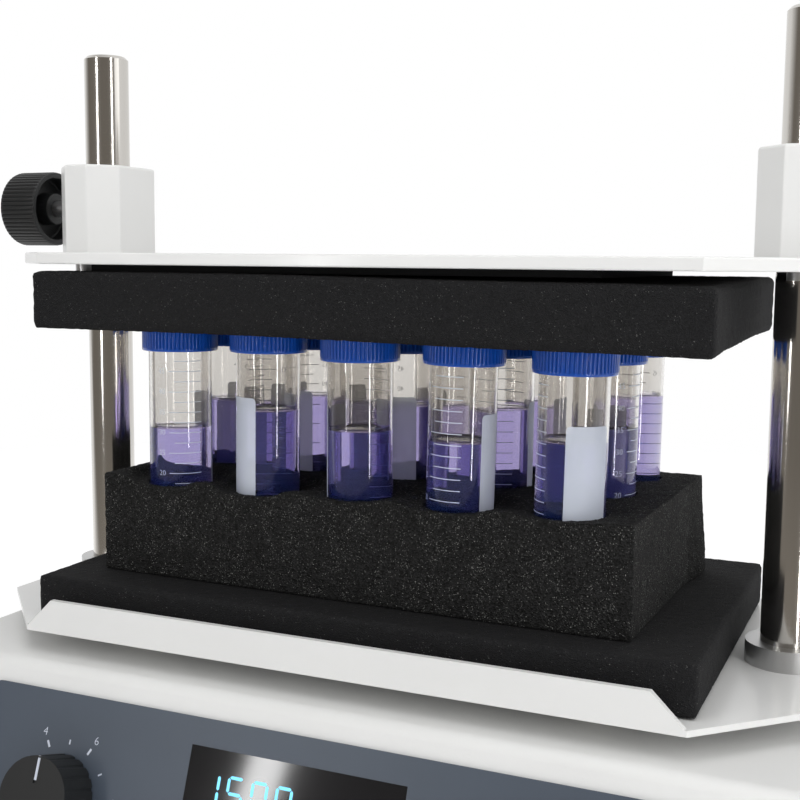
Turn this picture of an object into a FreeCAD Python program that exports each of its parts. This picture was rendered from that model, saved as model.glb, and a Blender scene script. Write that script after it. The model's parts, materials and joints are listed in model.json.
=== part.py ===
"""Multi-tube vortex mixer: a base with an eccentric drive, an orbiting platform that carries a foam
rack of sample tubes, and a clamp plate that slides on two columns and holds the tubes down.

Millimetres. +Z up, +X to the right and +Y to the back as seen by the user. The origin lies on the
table, under the axis of the crank pin, which is the middle of the platform at rest.
"""
import FreeCAD, Part
import os
import re

import Sketcher

V = FreeCAD.Vector

# Driving dimensions, in millimetres and degrees
SIZES = {
    # Base, feet and housing
    "foot_height": 12.0,
    "foot_radius": 17.0,
    "foot_top_radius": 15.0,
    "foot_inset": 30.0,
    "foot_recess_depth": 6.0,
    "base_thickness": 3.0,
    "base_round": 8.0,
    "housing_width": 400.0,
    "housing_front": 140.0,
    "housing_back": 142.5,
    "housing_height": 127.0,
    "housing_round": 6.0,
    "wall": 3.0,
    "panel_rise": 28.0,
    "panel_tilt": 20.0,
    "post_radius": 7.0,
    "post_height": 18.0,
    "post_inset": 8.0,
    # Screws
    "screw_radius": 2.5,
    "screw_head_radius": 4.5,
    "screw_head_height": 3.5,
    "screw_grip": 8.0,
    "fit_clearance": 0.02,
    "running_clearance": 0.06,
    "open_clearance": 0.5,
    # Control panel
    "panel_width": 310.0,
    "panel_height": 84.0,
    "panel_thickness": 1.5,
    "panel_round": 5.0,
    "window_width": 96.0,
    "window_height": 32.0,
    "window_lift": 15.0,
    "window_ledge": 4.0,
    "display_depth": 8.0,
    "dial_spread": 108.0,
    "dial_radius": 17.0,
    "dial_height": 18.0,
    "dial_gap": 0.5,
    "dial_flute_radius": 1.2,
    "dial_flutes": 20,
    "dial_mark_width": 1.6,
    "dial_mark_length": 10.2,
    "dial_mark_depth": 0.8,
    "dial_shaft_radius": 3.0,
    "pot_radius": 12.0,
    "pot_depth": 11.0,
    "button_width": 26.0,
    "button_height": 13.0,
    "button_pitch": 36.0,
    "button_drop": 24.0,
    "button_proud": 3.0,
    "button_gap": 0.4,
    "button_round": 1.2,
    # Rear fittings
    "rear_lift": 42.0,
    "inlet_place": -70.0,
    "inlet_width": 28.0,
    "inlet_height": 20.0,
    "inlet_depth": 24.0,
    "inlet_wall": 2.0,
    "inlet_flange": 6.0,
    "inlet_flange_thickness": 3.0,
    "inlet_hollow_depth": 17.0,
    "inlet_pin_length": 10.0,
    "inlet_pin_width": 4.0,
    "inlet_pin_thickness": 2.0,
    "inlet_pin_pitch": 7.0,
    "switch_place": -20.0,
    "switch_width": 13.0,
    "switch_height": 26.0,
    "switch_rim": 3.0,
    "switch_wall": 1.5,
    "switch_depth": 14.0,
    "rocker_gap": 0.5,
    "rocker_half": 10.4,
    "rocker_depth": 5.0,
    "rocker_peak": 3.0,
    "rocker_dip": 1.4,
    "rocker_axis_depth": 3.0,
    "rocker_tilt": 7.0,
    "rocker_pin_radius": 1.5,
    "vent_count": 12,
    "vent_place": 60.0,
    "vent_pitch": 8.0,
    "vent_width": 3.0,
    "vent_height": 36.0,
    # Electronics on the base plate
    "module_inset": 5.0,
    "module_width": 48.0,
    "supply_length": 140.0,
    "supply_height": 40.0,
    "board_length": 120.0,
    "board_thickness": 1.6,
    "board_part_width": 18.0,
    "board_part_height": 14.0,
    "spacer_radius": 3.0,
    "spacer_height": 8.0,
    "spacer_inset": 6.0,
    # Drive
    "drive_plate_gap": 9.0,
    "drive_plate_depth": 160.0,
    "drive_drop": 48.0,
    "drive_plate_thickness": 6.0,
    "pillar_radius": 7.0,
    "pillar_inset": 13.0,
    "motor_radius": 43.0,
    "motor_floor_gap": 9.0,
    "motor_round": 4.0,
    "motor_screw_circle": 33.0,
    "shaft_radius": 6.0,
    "shaft_in_motor": 30.0,
    "crank_throw": 2.0,
    "crank_radius": 18.0,
    "crank_height": 18.0,
    "crank_gap": 4.0,
    "weight_radius": 36.0,
    "weight_height": 10.0,
    "weight_angle": 150.0,
    "pin_radius": 6.0,
    "pin_top_gap": 3.0,
    "bearing_radius": 14.0,
    "bearing_width": 8.0,
    "bearing_lift": 3.0,
    "hub_radius": 22.0,
    "hub_depth": 20.0,
    "hub_flange_radius": 38.0,
    "hub_flange_thickness": 6.0,
    "hub_screw_circle": 30.0,
    "drive_window_gap": 4.0,
    "idler_end_inset": 30.0,
    "idler_y": 58.0,
    "idler_post_radius": 15.0,
    "idler_post_height": 28.0,
    "idler_bearing_radius": 11.0,
    "idler_bearing_width": 6.0,
    "idler_shaft_radius": 5.0,
    "idler_disc_radius": 13.0,
    "idler_disc_height": 5.0,
    "idler_disc_gap": 2.0,
    "idler_pin_radius": 4.0,
    "idler_loop_clearance": 0.3,
    "idler_window_gap": 3.0,
    "idler_bush_radius": 8.0,
    "idler_bush_length": 9.0,
    # Platform
    "tray_gap": 10.0,
    "tray_thickness": 2.5,
    "tray_end": 24.0,
    "tray_front": 95.0,
    "tray_corner": 148.0,
    "tray_round": 0.8,
    "lip_height": 15.0,
    "lip_slant": 13.5,
    "column_pad_gap": 10.5,
    "column_radius": 11.0,
    "column_end": 1.5,
    "column_above": 55.0,
    "spigot_radius": 7.0,
    "nut_radius": 12.0,
    "nut_height": 7.0,
    "collar_radius": 17.0,
    "collar_height": 9.0,
    # Foam, rack and tubes
    "pad_length": 299.0,
    "pad_depth": 171.0,
    "pad_round": 3.0,
    "lower_pad_thickness": 20.5,
    "upper_pad_height": 113.0,
    "upper_pad_thickness": 25.5,
    "foam_clearance": 0.35,
    "rack_length": 250.0,
    "rack_depth": 127.0,
    "rack_height": 45.6,
    "rack_round": 3.0,
    "rack_x": -2.5,
    "rack_y": -2.0,
    "rack_turn": -1.35,
    "tube_pitch": 47.2,
    "tube_count": 5,
    "row_pitch": 44.7,
    "row_count": 3,
    "tube_radius": 14.3,
    "tube_wall": 1.2,
    "tube_length": 114.0,
    "tube_floor": 2.0,
    "cone_height": 15.0,
    "tip_radius": 4.0,
    "liquid_height": 68.0,
    "liquid_clearance": 0.15,
    "cap_radius": 17.25,
    "cap_base": 102.7,
    "cap_height": 13.5,
    "cap_top": 2.0,
    "cap_clearance": 0.2,
    "cap_round": 0.8,
    # Clamp
    "backing_length": 236.0,
    "backing_depth": 132.0,
    "backing_x": -13.0,
    "backing_thickness": 3.0,
    "plate_thickness": 5.2,
    "plate_end": 24.0,
    "plate_front": 85.0,
    "plate_corner": 146.0,
    "plate_round": 0.8,
    "block_width": 36.0,
    "block_depth": 52.0,
    "block_height": 43.5,
    "block_chamfer": 11.4,
    "block_round": 1.5,
    "block_screw_place": 20.0,
    "slide_bush_wall": 2.0,
    "stud_lift": 23.0,
    "stud_radius": 4.0,
    "stud_gap": 0.4,
    "stud_grip": 12.0,
    "knob_radius": 19.0,
    "knob_length": 22.0,
    "knob_gap": 15.0,
    "knob_rim": 3.0,
    "knob_hollow": 9.0,
    "knob_boss_radius": 8.0,
    "knob_edge": 1.5,
    "knob_flutes": 24,
    "knob_flute_radius": 1.6,
}

# Heights above the table, each built on the one below it
BASE_TOP = "(foot_height + base_thickness)"
HOUSING_TOP = f"({BASE_TOP} + housing_height)"
TRAY_BOTTOM = f"({HOUSING_TOP} + tray_gap)"
TRAY_TOP = f"({TRAY_BOTTOM} + tray_thickness)"
PAD_TOP = f"({TRAY_TOP} + lower_pad_thickness)"
UPPER_PAD = f"({PAD_TOP} + upper_pad_height)"
BACKING = f"({UPPER_PAD} + upper_pad_thickness)"
PLATE = f"({BACKING} + backing_thickness)"
PLATE_TOP = f"({PLATE} + plate_thickness)"
BLOCK_TOP = f"({PLATE_TOP} + block_height)"
DRIVE_PLATE = f"({HOUSING_TOP} - drive_drop)"
DRIVE_TOP = f"({DRIVE_PLATE} + drive_plate_thickness)"
CRANK_BOTTOM = f"({DRIVE_TOP} + crank_gap)"
CRANK_TOP = f"({CRANK_BOTTOM} + crank_height)"

# Places in plan that follow from what they have to clear
COLUMN_X = "(pad_length / 2 + column_pad_gap + column_radius)"
DRIVE_WIDTH = "(housing_width - 2 * (wall + module_inset + module_width + drive_plate_gap))"
IDLER_X = f"({DRIVE_WIDTH} / 2 - idler_end_inset)"

# The sloped control panel: its middle on the housing's outer face
SLOPE_RISE = "(housing_height - panel_rise)"
PANEL_LOW = f"({BASE_TOP} + panel_rise)"
PANEL_Y = f"(-housing_front + {SLOPE_RISE} / 2 * tan(panel_tilt))"
PANEL_Z = f"({PANEL_LOW} + {SLOPE_RISE} / 2)"
MIDDLE_Y = "((housing_back - housing_front) / 2)"
HOUSING_DEPTH = "(housing_back + housing_front)"

# Distances below this count as nothing when edges are picked
TOUCH = 1e-3
CORNERS = [(-1, -1), (1, -1), (1, 1), (-1, 1)]
SIDES = {"left": -1, "right": 1}

doc = FreeCAD.newDocument("tube_mixer")
sheet = doc.addObject("Spreadsheet::Sheet", "sizes")
for row, (alias, size) in enumerate(SIZES.items(), start=1):
    sheet.set(f"A{row}", alias)
    sheet.set(f"B{row}", str(size))
    sheet.setAlias(f"B{row}", alias)
doc.recompute()

parts = {}


# Helpers: bound values, sketches and features

def linked(text):
    """An expression in which each named size points at its cell."""
    def point(found):
        word = found.group(0)
        return f"sizes.{word}" if word in SIZES else word
    return re.sub(r"[a-z_]+", point, str(text))


def bind(thing, prop, text):
    thing.setExpression(prop, linked(text))


def place(thing, x="0", y="0", z="0", turn=None):
    """Put an object at a bound point; turn is a rotation that stays."""
    if turn is not None:
        thing.Placement = FreeCAD.Placement(V(0, 0, 0), turn)
    for name, text in zip("xyz", (x, y, z)):
        if str(text) != "0":
            bind(thing, f"Placement.Base.{name}", text)
    return thing


def finish(label, thing):
    """Name an object as one of the mixer's pieces."""
    thing.Label = label
    parts[label] = thing
    return thing


def body(name):
    made = doc.addObject("PartDesign::Body", name)
    made.AllowCompound = True
    return made


def origin(owner, role):
    return next(item for item in owner.Origin.OriginFeatures if item.Role == role)


def sketch(owner, plane="XY_Plane", lift="0"):
    made = owner.newObject("Sketcher::SketchObject", f"{owner.Name}_sketch")
    made.AttachmentSupport = (origin(owner, plane), [""])
    made.MapMode = "FlatFace"
    if lift != "0":
        bind(made, "AttachmentOffset.Base.z", lift)
    return made


def hold(made, geometry, end, point):
    """Tie one point of a sketch to bound distances from the sketch's origin."""
    for kind, axis, text in (("DistanceX", -2, point[0]), ("DistanceY", -1, point[1])):
        if str(text) == "0":
            made.addConstraint(Sketcher.Constraint("PointOnObject", geometry, end, axis))
        else:
            index = made.addConstraint(Sketcher.Constraint(kind, -1, 1, geometry, end, 1.0))
            bind(made, f"Constraints[{index}]", text)


def outline(made, points):
    """A closed outline of straight lines; the sketch is drawn rough and its constraints shape it."""
    first = made.GeometryCount
    count = len(points)
    rough = [V(index, index * index, 0) for index in range(count)]
    for index in range(count):
        line = Part.LineSegment(rough[index], rough[(index + 1) % count])
        made.addGeometry(line, False)
    for index in range(count):
        after = first + (index + 1) % count
        made.addConstraint(Sketcher.Constraint("Coincident", first + index, 2, after, 1))
    for index, point in enumerate(points):
        hold(made, first + index, 1, point)


def circle(made, x, y, radius):
    geometry = made.addGeometry(Part.Circle(V(1, 1, 0), V(0, 0, 1), 1), False)
    hold(made, geometry, 3, (x, y))
    index = made.addConstraint(Sketcher.Constraint("Radius", geometry, 1.0))
    bind(made, f"Constraints[{index}]", radius)


def rectangle(made, width, height, x="0", y="0"):
    outline(made, [
        (f"{x} + {side_x} * ({width}) / 2", f"{y} + {side_y} * ({height}) / 2")
        for side_x, side_y in CORNERS
    ])


def pad(owner, made, length, symmetric=False, reverse=False):
    feature = owner.newObject("PartDesign::Pad", f"{owner.Name}_pad")
    feature.Profile = made
    feature.SideType = "Symmetric" if symmetric else "One side"
    feature.Reversed = reverse
    bind(feature, "Length", length)
    return feature


def pocket(owner, made, length=None, symmetric=False, reverse=False):
    """Cut a profile away; with no length it goes right through. A cut that misses is an error."""
    doc.recompute()
    before = owner.Shape.Volume
    feature = owner.newObject("PartDesign::Pocket", f"{owner.Name}_pocket")
    feature.Profile = made
    feature.SideType = "Symmetric" if symmetric else "One side"
    feature.Reversed = reverse
    if length is None:
        feature.Type = "ThroughAll"
    else:
        bind(feature, "Length", length)
    doc.recompute()
    if owner.Shape.Volume >= before:
        raise RuntimeError(f"{owner.Name}: a cut removes nothing")
    return feature


def revolve(owner, made):
    feature = owner.newObject("PartDesign::Revolution", f"{owner.Name}_turned")
    feature.Profile = made
    feature.ReferenceAxis = (made, ["V_Axis"])
    feature.Angle = 360
    return feature


def grid(owner, feature):
    """Repeat a feature over the places of the tubes: along X, then along Y."""
    made = owner.newObject("PartDesign::LinearPattern", f"{owner.Name}_grid")
    made.Originals = [feature]
    made.Direction = (origin(owner, "X_Axis"), [""])
    made.Direction2 = (origin(owner, "Y_Axis"), [""])
    bind(made, "Length", "tube_pitch * (tube_count - 1)")
    bind(made, "Length2", "row_pitch * (row_count - 1)")
    bind(made, "Occurrences", "tube_count")
    bind(made, "Occurrences2", "row_count")
    owner.Tip = made
    return made


def around(owner, feature, count):
    made = owner.newObject("PartDesign::PolarPattern", f"{owner.Name}_around")
    made.Originals = [feature]
    made.Axis = (origin(owner, "Z_Axis"), [""])
    made.Angle = 360
    bind(made, "Occurrences", count)
    owner.Tip = made
    return made


def soften(owner, feature, radius, keep=lambda edge: True):
    """Round the edges of a feature that keep picks."""
    doc.recompute()
    names = [f"Edge{index}" for index, edge in enumerate(feature.Shape.Edges, start=1) if keep(edge)]
    made = owner.newObject("PartDesign::Fillet", f"{owner.Name}_round")
    made.Base = (feature, names)
    bind(made, "Radius", radius)
    return made


def upright(edge):
    """A straight edge along Z."""
    low, high = edge.Vertexes[0].Point, edge.Vertexes[-1].Point
    return abs(low.z - high.z) > TOUCH and abs(low.x - high.x) + abs(low.y - high.y) < TOUCH


def above_bottom(edge):
    """An edge that doesn't lie on the plane Z = 0 of its body."""
    return edge.BoundBox.ZMax > TOUCH


def slab(width, depth, height, x="0", y="0", z="0"):
    """A box whose middle in plan is x, y and whose underside is z."""
    made = doc.addObject("Part::Box", "slab")
    for prop, text in (("Length", width), ("Width", depth), ("Height", height)):
        bind(made, prop, text)
    return place(made, f"{x} - ({width}) / 2", f"{y} - ({depth}) / 2", z)


def rod(radius, length, x="0", y="0", z="0", turn=None):
    made = doc.addObject("Part::Cylinder", "rod")
    bind(made, "Radius", radius)
    bind(made, "Height", length)
    return place(made, x, y, z, turn)


def group(*members):
    made = doc.addObject("Part::Compound", "group")
    made.Links = list(members)
    return made


def join(*members):
    made = doc.addObject("Part::MultiFuse", "joined")
    made.Shapes = list(members)
    made.Refine = True
    return made


def cut(base, *tools):
    made = doc.addObject("Part::Cut", "cut")
    made.Base = base
    made.Tool = tools[0] if len(tools) == 1 else group(*tools)
    return made


def ring(outer, inner, length, x="0", y="0", z="0"):
    return cut(rod(outer, length, x, y, z), rod(inner, length, x, y, z))


def screw(x, y, seat, up=True, grip="screw_grip"):
    """A cap screw whose head seats at the height seat; up means that its shank points up."""
    if up:
        head = rod("screw_head_radius", "screw_head_height", x, y, f"{seat} - screw_head_height")
        shank = rod("screw_radius", grip, x, y, seat)
    else:
        head = rod("screw_head_radius", "screw_head_height", x, y, seat)
        shank = rod("screw_radius", grip, x, y, f"{seat} - ({grip})")
    return join(head, shank)


# Feet, base plate and housing

FEET = [
    (f"{side} * (housing_width / 2 - foot_inset)", place_y)
    for side in (-1, 1)
    for place_y in ("(-housing_front + foot_inset)", "(housing_back - foot_inset)")
]
POSTS = [
    (f"{side} * (housing_width / 2 - post_inset)", place_y)
    for side in (-1, 1)
    for place_y in ("(-housing_front + post_inset)", "(housing_back - post_inset)")
]


def make_feet():
    made = []
    screws = []
    for x, y in FEET:
        cone = doc.addObject("Part::Cone", "foot")
        bind(cone, "Radius1", "foot_top_radius")
        bind(cone, "Radius2", "foot_radius")
        bind(cone, "Height", "foot_height")
        place(cone, x, y)
        recess = rod("screw_head_radius + open_clearance", "foot_recess_depth", x, y)
        through = rod("screw_radius + fit_clearance", "foot_height", x, y)
        made.append(cut(cone, join(recess, through)))
        grip = "foot_height - foot_recess_depth + base_thickness"
        screws.append(screw(x, y, "foot_recess_depth", grip=grip))
    finish("rubber_feet", group(*made))
    finish("foot_screws", group(*screws))


def make_base_plate():
    owner = body("base_plate")
    plan = sketch(owner)
    rectangle(plan, "housing_width", HOUSING_DEPTH, "0", MIDDLE_Y)
    slab_pad = pad(owner, plan, "base_thickness")
    soften(owner, slab_pad, "base_round", upright)
    holes = sketch(owner)
    for x, y in FEET + POSTS:
        circle(holes, x, y, "screw_radius + fit_clearance")
    pocket(owner, holes, reverse=True)
    finish("base_plate", place(owner, z="foot_height"))


def panel_turn():
    """The turn that takes a flat piece's X, Y and Z to the panel's width, slope and outward normal."""
    return FreeCAD.Rotation(V(1, 0, 0), 90 - sheet.get("panel_tilt"))


def panel_sketch(owner):
    """A sketch on the housing's sloped face, from the panel's middle."""
    made = sketch(owner, "XZ_Plane")
    lean = FreeCAD.Rotation(V(1, 0, 0), -sheet.get("panel_tilt"))
    made.AttachmentOffset = FreeCAD.Placement(V(0, 0, 0), lean)
    bind(made, "AttachmentOffset.Base.y", f"{PANEL_Z} - {BASE_TOP}")
    bind(made, "AttachmentOffset.Base.z", f"-{PANEL_Y}")
    return made


BUTTONS = {"start_button": -1, "stop_button": 0, "pulse_button": 1}
DIALS = {"speed_dial": -1, "time_dial": 1}


def make_housing():
    owner = body("housing_shell")
    top = "housing_height"
    side = sketch(owner, "YZ_Plane")
    outline(side, [
        ("-housing_front", "0"),
        ("housing_back", "0"),
        ("housing_back", top),
        (f"-housing_front + {SLOPE_RISE} * tan(panel_tilt)", top),
        ("-housing_front", "panel_rise"),
    ])
    shell = pad(owner, side, "housing_width", symmetric=True)
    soften(owner, shell, "housing_round", above_bottom)
    inside = sketch(owner, "YZ_Plane")
    inner_slope_top = f"-housing_front + ({SLOPE_RISE} - wall) * tan(panel_tilt) + wall / cos(panel_tilt)"
    outline(inside, [
        ("-housing_front + wall", "0"),
        ("housing_back - wall", "0"),
        ("housing_back - wall", f"{top} - wall"),
        (inner_slope_top, f"{top} - wall"),
        ("-housing_front + wall", "panel_rise - wall * tan(panel_tilt / 2)"),
    ])
    pocket(owner, inside, "housing_width - 2 * wall", symmetric=True)
    feet_of_shell = sketch(owner)
    for x, y in POSTS:
        circle(feet_of_shell, x, y, "post_radius")
    pad(owner, feet_of_shell, "post_height")
    threads = sketch(owner)
    for x, y in POSTS:
        circle(threads, x, y, "screw_radius + fit_clearance")
    pocket(owner, threads, "screw_grip + wall", reverse=True)
    drive_windows = sketch(owner, lift=top)
    circle(drive_windows, "-crank_throw", "0", "hub_radius + 2 * crank_throw + drive_window_gap")
    idler_window = "idler_pin_radius + crank_throw + idler_window_gap"
    for side_x, side_y in CORNERS:
        circle(drive_windows, f"{side_x} * {IDLER_X} - crank_throw", f"{side_y} * idler_y", idler_window)
    pocket(owner, drive_windows, "2 * wall")
    front = panel_sketch(owner)
    rectangle(front, "window_width - 2 * window_ledge", "window_height - 2 * window_ledge",
              "0", "window_lift")
    for column in BUTTONS.values():
        rectangle(front, "button_width + 2 * button_gap", "button_height + 2 * button_gap",
                  f"{column} * button_pitch", "-button_drop")
    for column in DIALS.values():
        circle(front, f"{column} * dial_spread", "0", "dial_shaft_radius + open_clearance")
    pocket(owner, front, "2 * wall")
    rear = sketch(owner, "XZ_Plane", "-housing_back")
    rectangle(rear, "inlet_width + 2 * fit_clearance", "inlet_height + 2 * fit_clearance",
              "inlet_place", "rear_lift")
    rectangle(rear, "switch_width + 2 * switch_wall + 2 * fit_clearance",
              "switch_height + 2 * switch_wall + 2 * fit_clearance", "switch_place", "rear_lift")
    for step in range(int(sheet.get("vent_count"))):
        rectangle(rear, "vent_width", "vent_height", f"vent_place + {step} * vent_pitch", "rear_lift")
    pocket(owner, rear, "2 * wall", reverse=True)
    finish("housing_shell", place(owner, z=BASE_TOP))
    grip = "base_thickness + screw_grip"
    finish("housing_screws", group(*[screw(x, y, "foot_height", grip=grip) for x, y in POSTS]))


# Control panel: overlay, display, dials and buttons

def on_panel(label, owner):
    """Seat a piece that is drawn flat on the sloped panel."""
    return finish(label, place(owner, "0", PANEL_Y, PANEL_Z, panel_turn()))


def make_panel():
    owner = body("control_panel")
    face = sketch(owner)
    rectangle(face, "panel_width", "panel_height")
    plate = pad(owner, face, "panel_thickness")
    soften(owner, plate, "panel_round", upright)
    holes = sketch(owner)
    rectangle(holes, "window_width + 2 * fit_clearance", "window_height + 2 * fit_clearance",
              "0", "window_lift")
    for column in BUTTONS.values():
        rectangle(holes, "button_width + 2 * button_gap", "button_height + 2 * button_gap",
                  f"{column} * button_pitch", "-button_drop")
    for column in DIALS.values():
        circle(holes, f"{column} * dial_spread", "0", "dial_shaft_radius + open_clearance")
    pocket(owner, holes, reverse=True)
    on_panel("control_panel", owner)

    owner = body("display_window")
    face = sketch(owner)
    rectangle(face, "window_width", "window_height", "0", "window_lift")
    pad(owner, face, "panel_thickness")
    on_panel("display_window", owner)

    owner = body("display_module")
    face = sketch(owner, lift="-wall")
    rectangle(face, "window_width", "window_height", "0", "window_lift")
    pad(owner, face, "display_depth", reverse=True)
    on_panel("display_module", owner)


def make_dials():
    pots = body("dial_potentiometers")
    face = sketch(pots, lift="-wall")
    for column in DIALS.values():
        circle(face, f"{column} * dial_spread", "0", "pot_radius")
    pad(pots, face, "pot_depth", reverse=True)
    bores = sketch(pots, lift="-wall")
    for column in DIALS.values():
        circle(bores, f"{column} * dial_spread", "0", "dial_shaft_radius + running_clearance")
    pocket(pots, bores, "pot_depth - wall")
    on_panel("dial_potentiometers", pots)

    for label, column in DIALS.items():
        owner = body(label)
        seat = "panel_thickness + dial_gap"
        shaft_end = "-(pot_depth - dial_gap)"
        half = sketch(owner, "XZ_Plane")
        outline(half, [
            ("0", shaft_end),
            ("dial_shaft_radius", shaft_end),
            ("dial_shaft_radius", seat),
            ("dial_radius", seat),
            ("dial_radius - dial_gap", f"{seat} + dial_height"),
            ("0", f"{seat} + dial_height"),
        ])
        revolve(owner, half)
        flute = sketch(owner, lift=seat)
        circle(flute, "0", "dial_radius + dial_flute_radius / 2", "dial_flute_radius")
        groove = pocket(owner, flute, reverse=True)
        around(owner, groove, "dial_flutes")
        mark = sketch(owner, lift=f"{seat} + dial_height")
        mark_middle = "dial_radius - dial_flute_radius - dial_mark_length / 2"
        rectangle(mark, "dial_mark_width", "dial_mark_length", "0", mark_middle)
        pocket(owner, mark, "dial_mark_depth")
        finish(label, place(owner, f"{column} * dial_spread", PANEL_Y, PANEL_Z, panel_turn()))


def make_buttons():
    for label, column in BUTTONS.items():
        owner = body(label)
        face = sketch(owner, lift="-wall")
        rectangle(face, "button_width", "button_height", f"{column} * button_pitch", "-button_drop")
        key = pad(owner, face, "wall + panel_thickness + button_proud")
        soften(owner, key, "button_round", lambda edge: edge.BoundBox.ZMin > 0)
        on_panel(label, owner)


# Rear fittings: mains inlet and power switch

def make_rear():
    height = f"({BASE_TOP} + rear_lift)"
    flange = slab("inlet_width + 2 * inlet_flange", "inlet_flange_thickness", "inlet_height + inlet_flange",
                  "inlet_place", "housing_back + inlet_flange_thickness / 2",
                  f"{height} - (inlet_height + inlet_flange) / 2")
    box = slab("inlet_width", "inlet_depth", "inlet_height",
               "inlet_place", "housing_back - inlet_depth / 2", f"{height} - inlet_height / 2")
    mouth = "housing_back + inlet_flange_thickness - inlet_hollow_depth / 2"
    hollow = slab("inlet_width - 2 * inlet_wall", "inlet_hollow_depth", "inlet_height - 2 * inlet_wall",
                  "inlet_place", mouth, f"{height} - inlet_height / 2 + inlet_wall")
    floor = "housing_back + inlet_flange_thickness - inlet_hollow_depth"
    pins = [
        slab("inlet_pin_thickness", "inlet_pin_length", "inlet_pin_width",
             f"inlet_place + {step} * inlet_pin_pitch", f"{floor} + inlet_pin_length / 2",
             f"{height} - inlet_pin_width / 2")
        for step in (-1, 0, 1)
    ]
    finish("power_inlet", join(cut(join(flange, box), hollow), *pins))

    outer_width = "(switch_width + 2 * switch_wall)"
    outer_height = "(switch_height + 2 * switch_wall)"
    rim = slab(f"{outer_width} + 2 * switch_rim", "switch_wall", f"{outer_height} + 2 * switch_rim",
               "switch_place", "housing_back + switch_wall / 2",
               f"{height} - {outer_height} / 2 - switch_rim")
    case = slab(outer_width, "switch_depth", outer_height,
                "switch_place", "housing_back - switch_depth / 2", f"{height} - {outer_height} / 2")
    well = slab("switch_width", "switch_depth", "switch_height", "switch_place",
                "housing_back + switch_wall * 3 / 2 - switch_depth / 2", f"{height} - switch_height / 2")
    along = FreeCAD.Rotation(V(0, 1, 0), 90)
    axis_y = "housing_back - rocker_axis_depth"
    pivot_x = f"switch_place - {outer_width} / 2"
    pivot = rod("rocker_pin_radius", outer_width, pivot_x, axis_y, height, along)
    finish("switch_frame", join(cut(join(rim, case), well), pivot))

    owner = body("power_rocker")
    face = sketch(owner, "YZ_Plane")
    outline(face, [
        ("rocker_axis_depth - rocker_depth", "-rocker_half"),
        ("rocker_axis_depth + rocker_peak", "-rocker_half"),
        ("rocker_axis_depth + rocker_dip", "0"),
        ("rocker_axis_depth + rocker_peak", "rocker_half"),
        ("rocker_axis_depth - rocker_depth", "rocker_half"),
    ])
    key = pad(owner, face, "switch_width - 2 * rocker_gap", symmetric=True)
    soften(owner, key, "rocker_gap")
    bore = sketch(owner, "YZ_Plane")
    circle(bore, "0", "0", "rocker_pin_radius + running_clearance")
    pocket(owner, bore, "switch_width", symmetric=True)
    tilt = FreeCAD.Rotation(V(1, 0, 0), sheet.get("rocker_tilt"))
    finish("power_rocker", place(owner, "switch_place", axis_y, height, tilt))


# Electronics that stand on the base plate

def make_electronics():
    edge = "(housing_width / 2 - wall - module_inset - module_width / 2)"
    supply = slab("module_width", "supply_length", "supply_height", f"-{edge}", "0", BASE_TOP)
    finish("power_supply", supply)
    board_z = f"({BASE_TOP} + spacer_height)"
    board = slab("module_width", "board_length", "board_thickness", edge, "0", board_z)
    chips = [
        slab("board_part_width", "board_part_width", "board_part_height",
             edge, f"{step} * board_length / 3", f"{board_z} + board_thickness")
        for step in (-1, 0, 1)
    ]
    finish("control_board", join(board, *chips))
    finish("board_spacers", group(*[
        rod("spacer_radius", "spacer_height", f"{edge} + {side_x} * (module_width / 2 - spacer_inset)",
            f"{side_y} * (board_length / 2 - spacer_inset)", BASE_TOP)
        for side_x, side_y in CORNERS
    ]))


# Drive: motor, crank, idlers and the plate that carries them

IDLERS = {
    "idler_front_left": CORNERS[0],
    "idler_front_right": CORNERS[1],
    "idler_rear_right": CORNERS[2],
    "idler_rear_left": CORNERS[3],
}
MOTOR_X = "-crank_throw"
MOTOR_SCREWS = [
    (f"{MOTOR_X} + {side_x} * motor_screw_circle / sqrt(2)", f"{side_y} * motor_screw_circle / sqrt(2)")
    for side_x, side_y in CORNERS
]


def make_drive_plate():
    owner = body("drive_plate")
    plan = sketch(owner)
    rectangle(plan, DRIVE_WIDTH, "drive_plate_depth")
    pad(owner, plan, "drive_plate_thickness")
    holes = sketch(owner)
    circle(holes, MOTOR_X, "0", "shaft_radius + open_clearance")
    for x, y in MOTOR_SCREWS:
        circle(holes, x, y, "screw_radius + fit_clearance")
    pocket(owner, holes, reverse=True)
    finish("drive_plate", place(owner, z=DRIVE_PLATE))
    finish("drive_pillars", group(*[
        rod("pillar_radius", f"{DRIVE_PLATE} - {BASE_TOP}", f"{side_x} * ({DRIVE_WIDTH} / 2 - pillar_inset)",
            f"{side_y} * (drive_plate_depth / 2 - pillar_inset)", BASE_TOP)
        for side_x, side_y in CORNERS
    ]))


def make_motor():
    owner = body("motor")
    motor_bottom = f"({BASE_TOP} + motor_floor_gap)"
    motor_height = f"({DRIVE_PLATE} - {motor_bottom})"
    plan = sketch(owner)
    circle(plan, "0", "0", "motor_radius")
    can = pad(owner, plan, motor_height)
    soften(owner, can, "motor_round", lambda edge: edge.BoundBox.ZMax < TOUCH)
    bores = sketch(owner, lift=motor_height)
    circle(bores, "0", "0", "shaft_radius + running_clearance")
    pocket(owner, bores, "shaft_in_motor + open_clearance")
    threads = sketch(owner, lift=motor_height)
    for x, y in MOTOR_SCREWS:
        circle(threads, f"{x} - ({MOTOR_X})", y, "screw_radius + fit_clearance")
    pocket(owner, threads, "screw_grip + open_clearance")
    finish("motor", place(owner, MOTOR_X, "0", motor_bottom))
    grip = "drive_plate_thickness + screw_grip"
    finish("motor_screws", group(*[screw(x, y, DRIVE_TOP, up=False, grip=grip) for x, y in MOTOR_SCREWS]))


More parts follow.
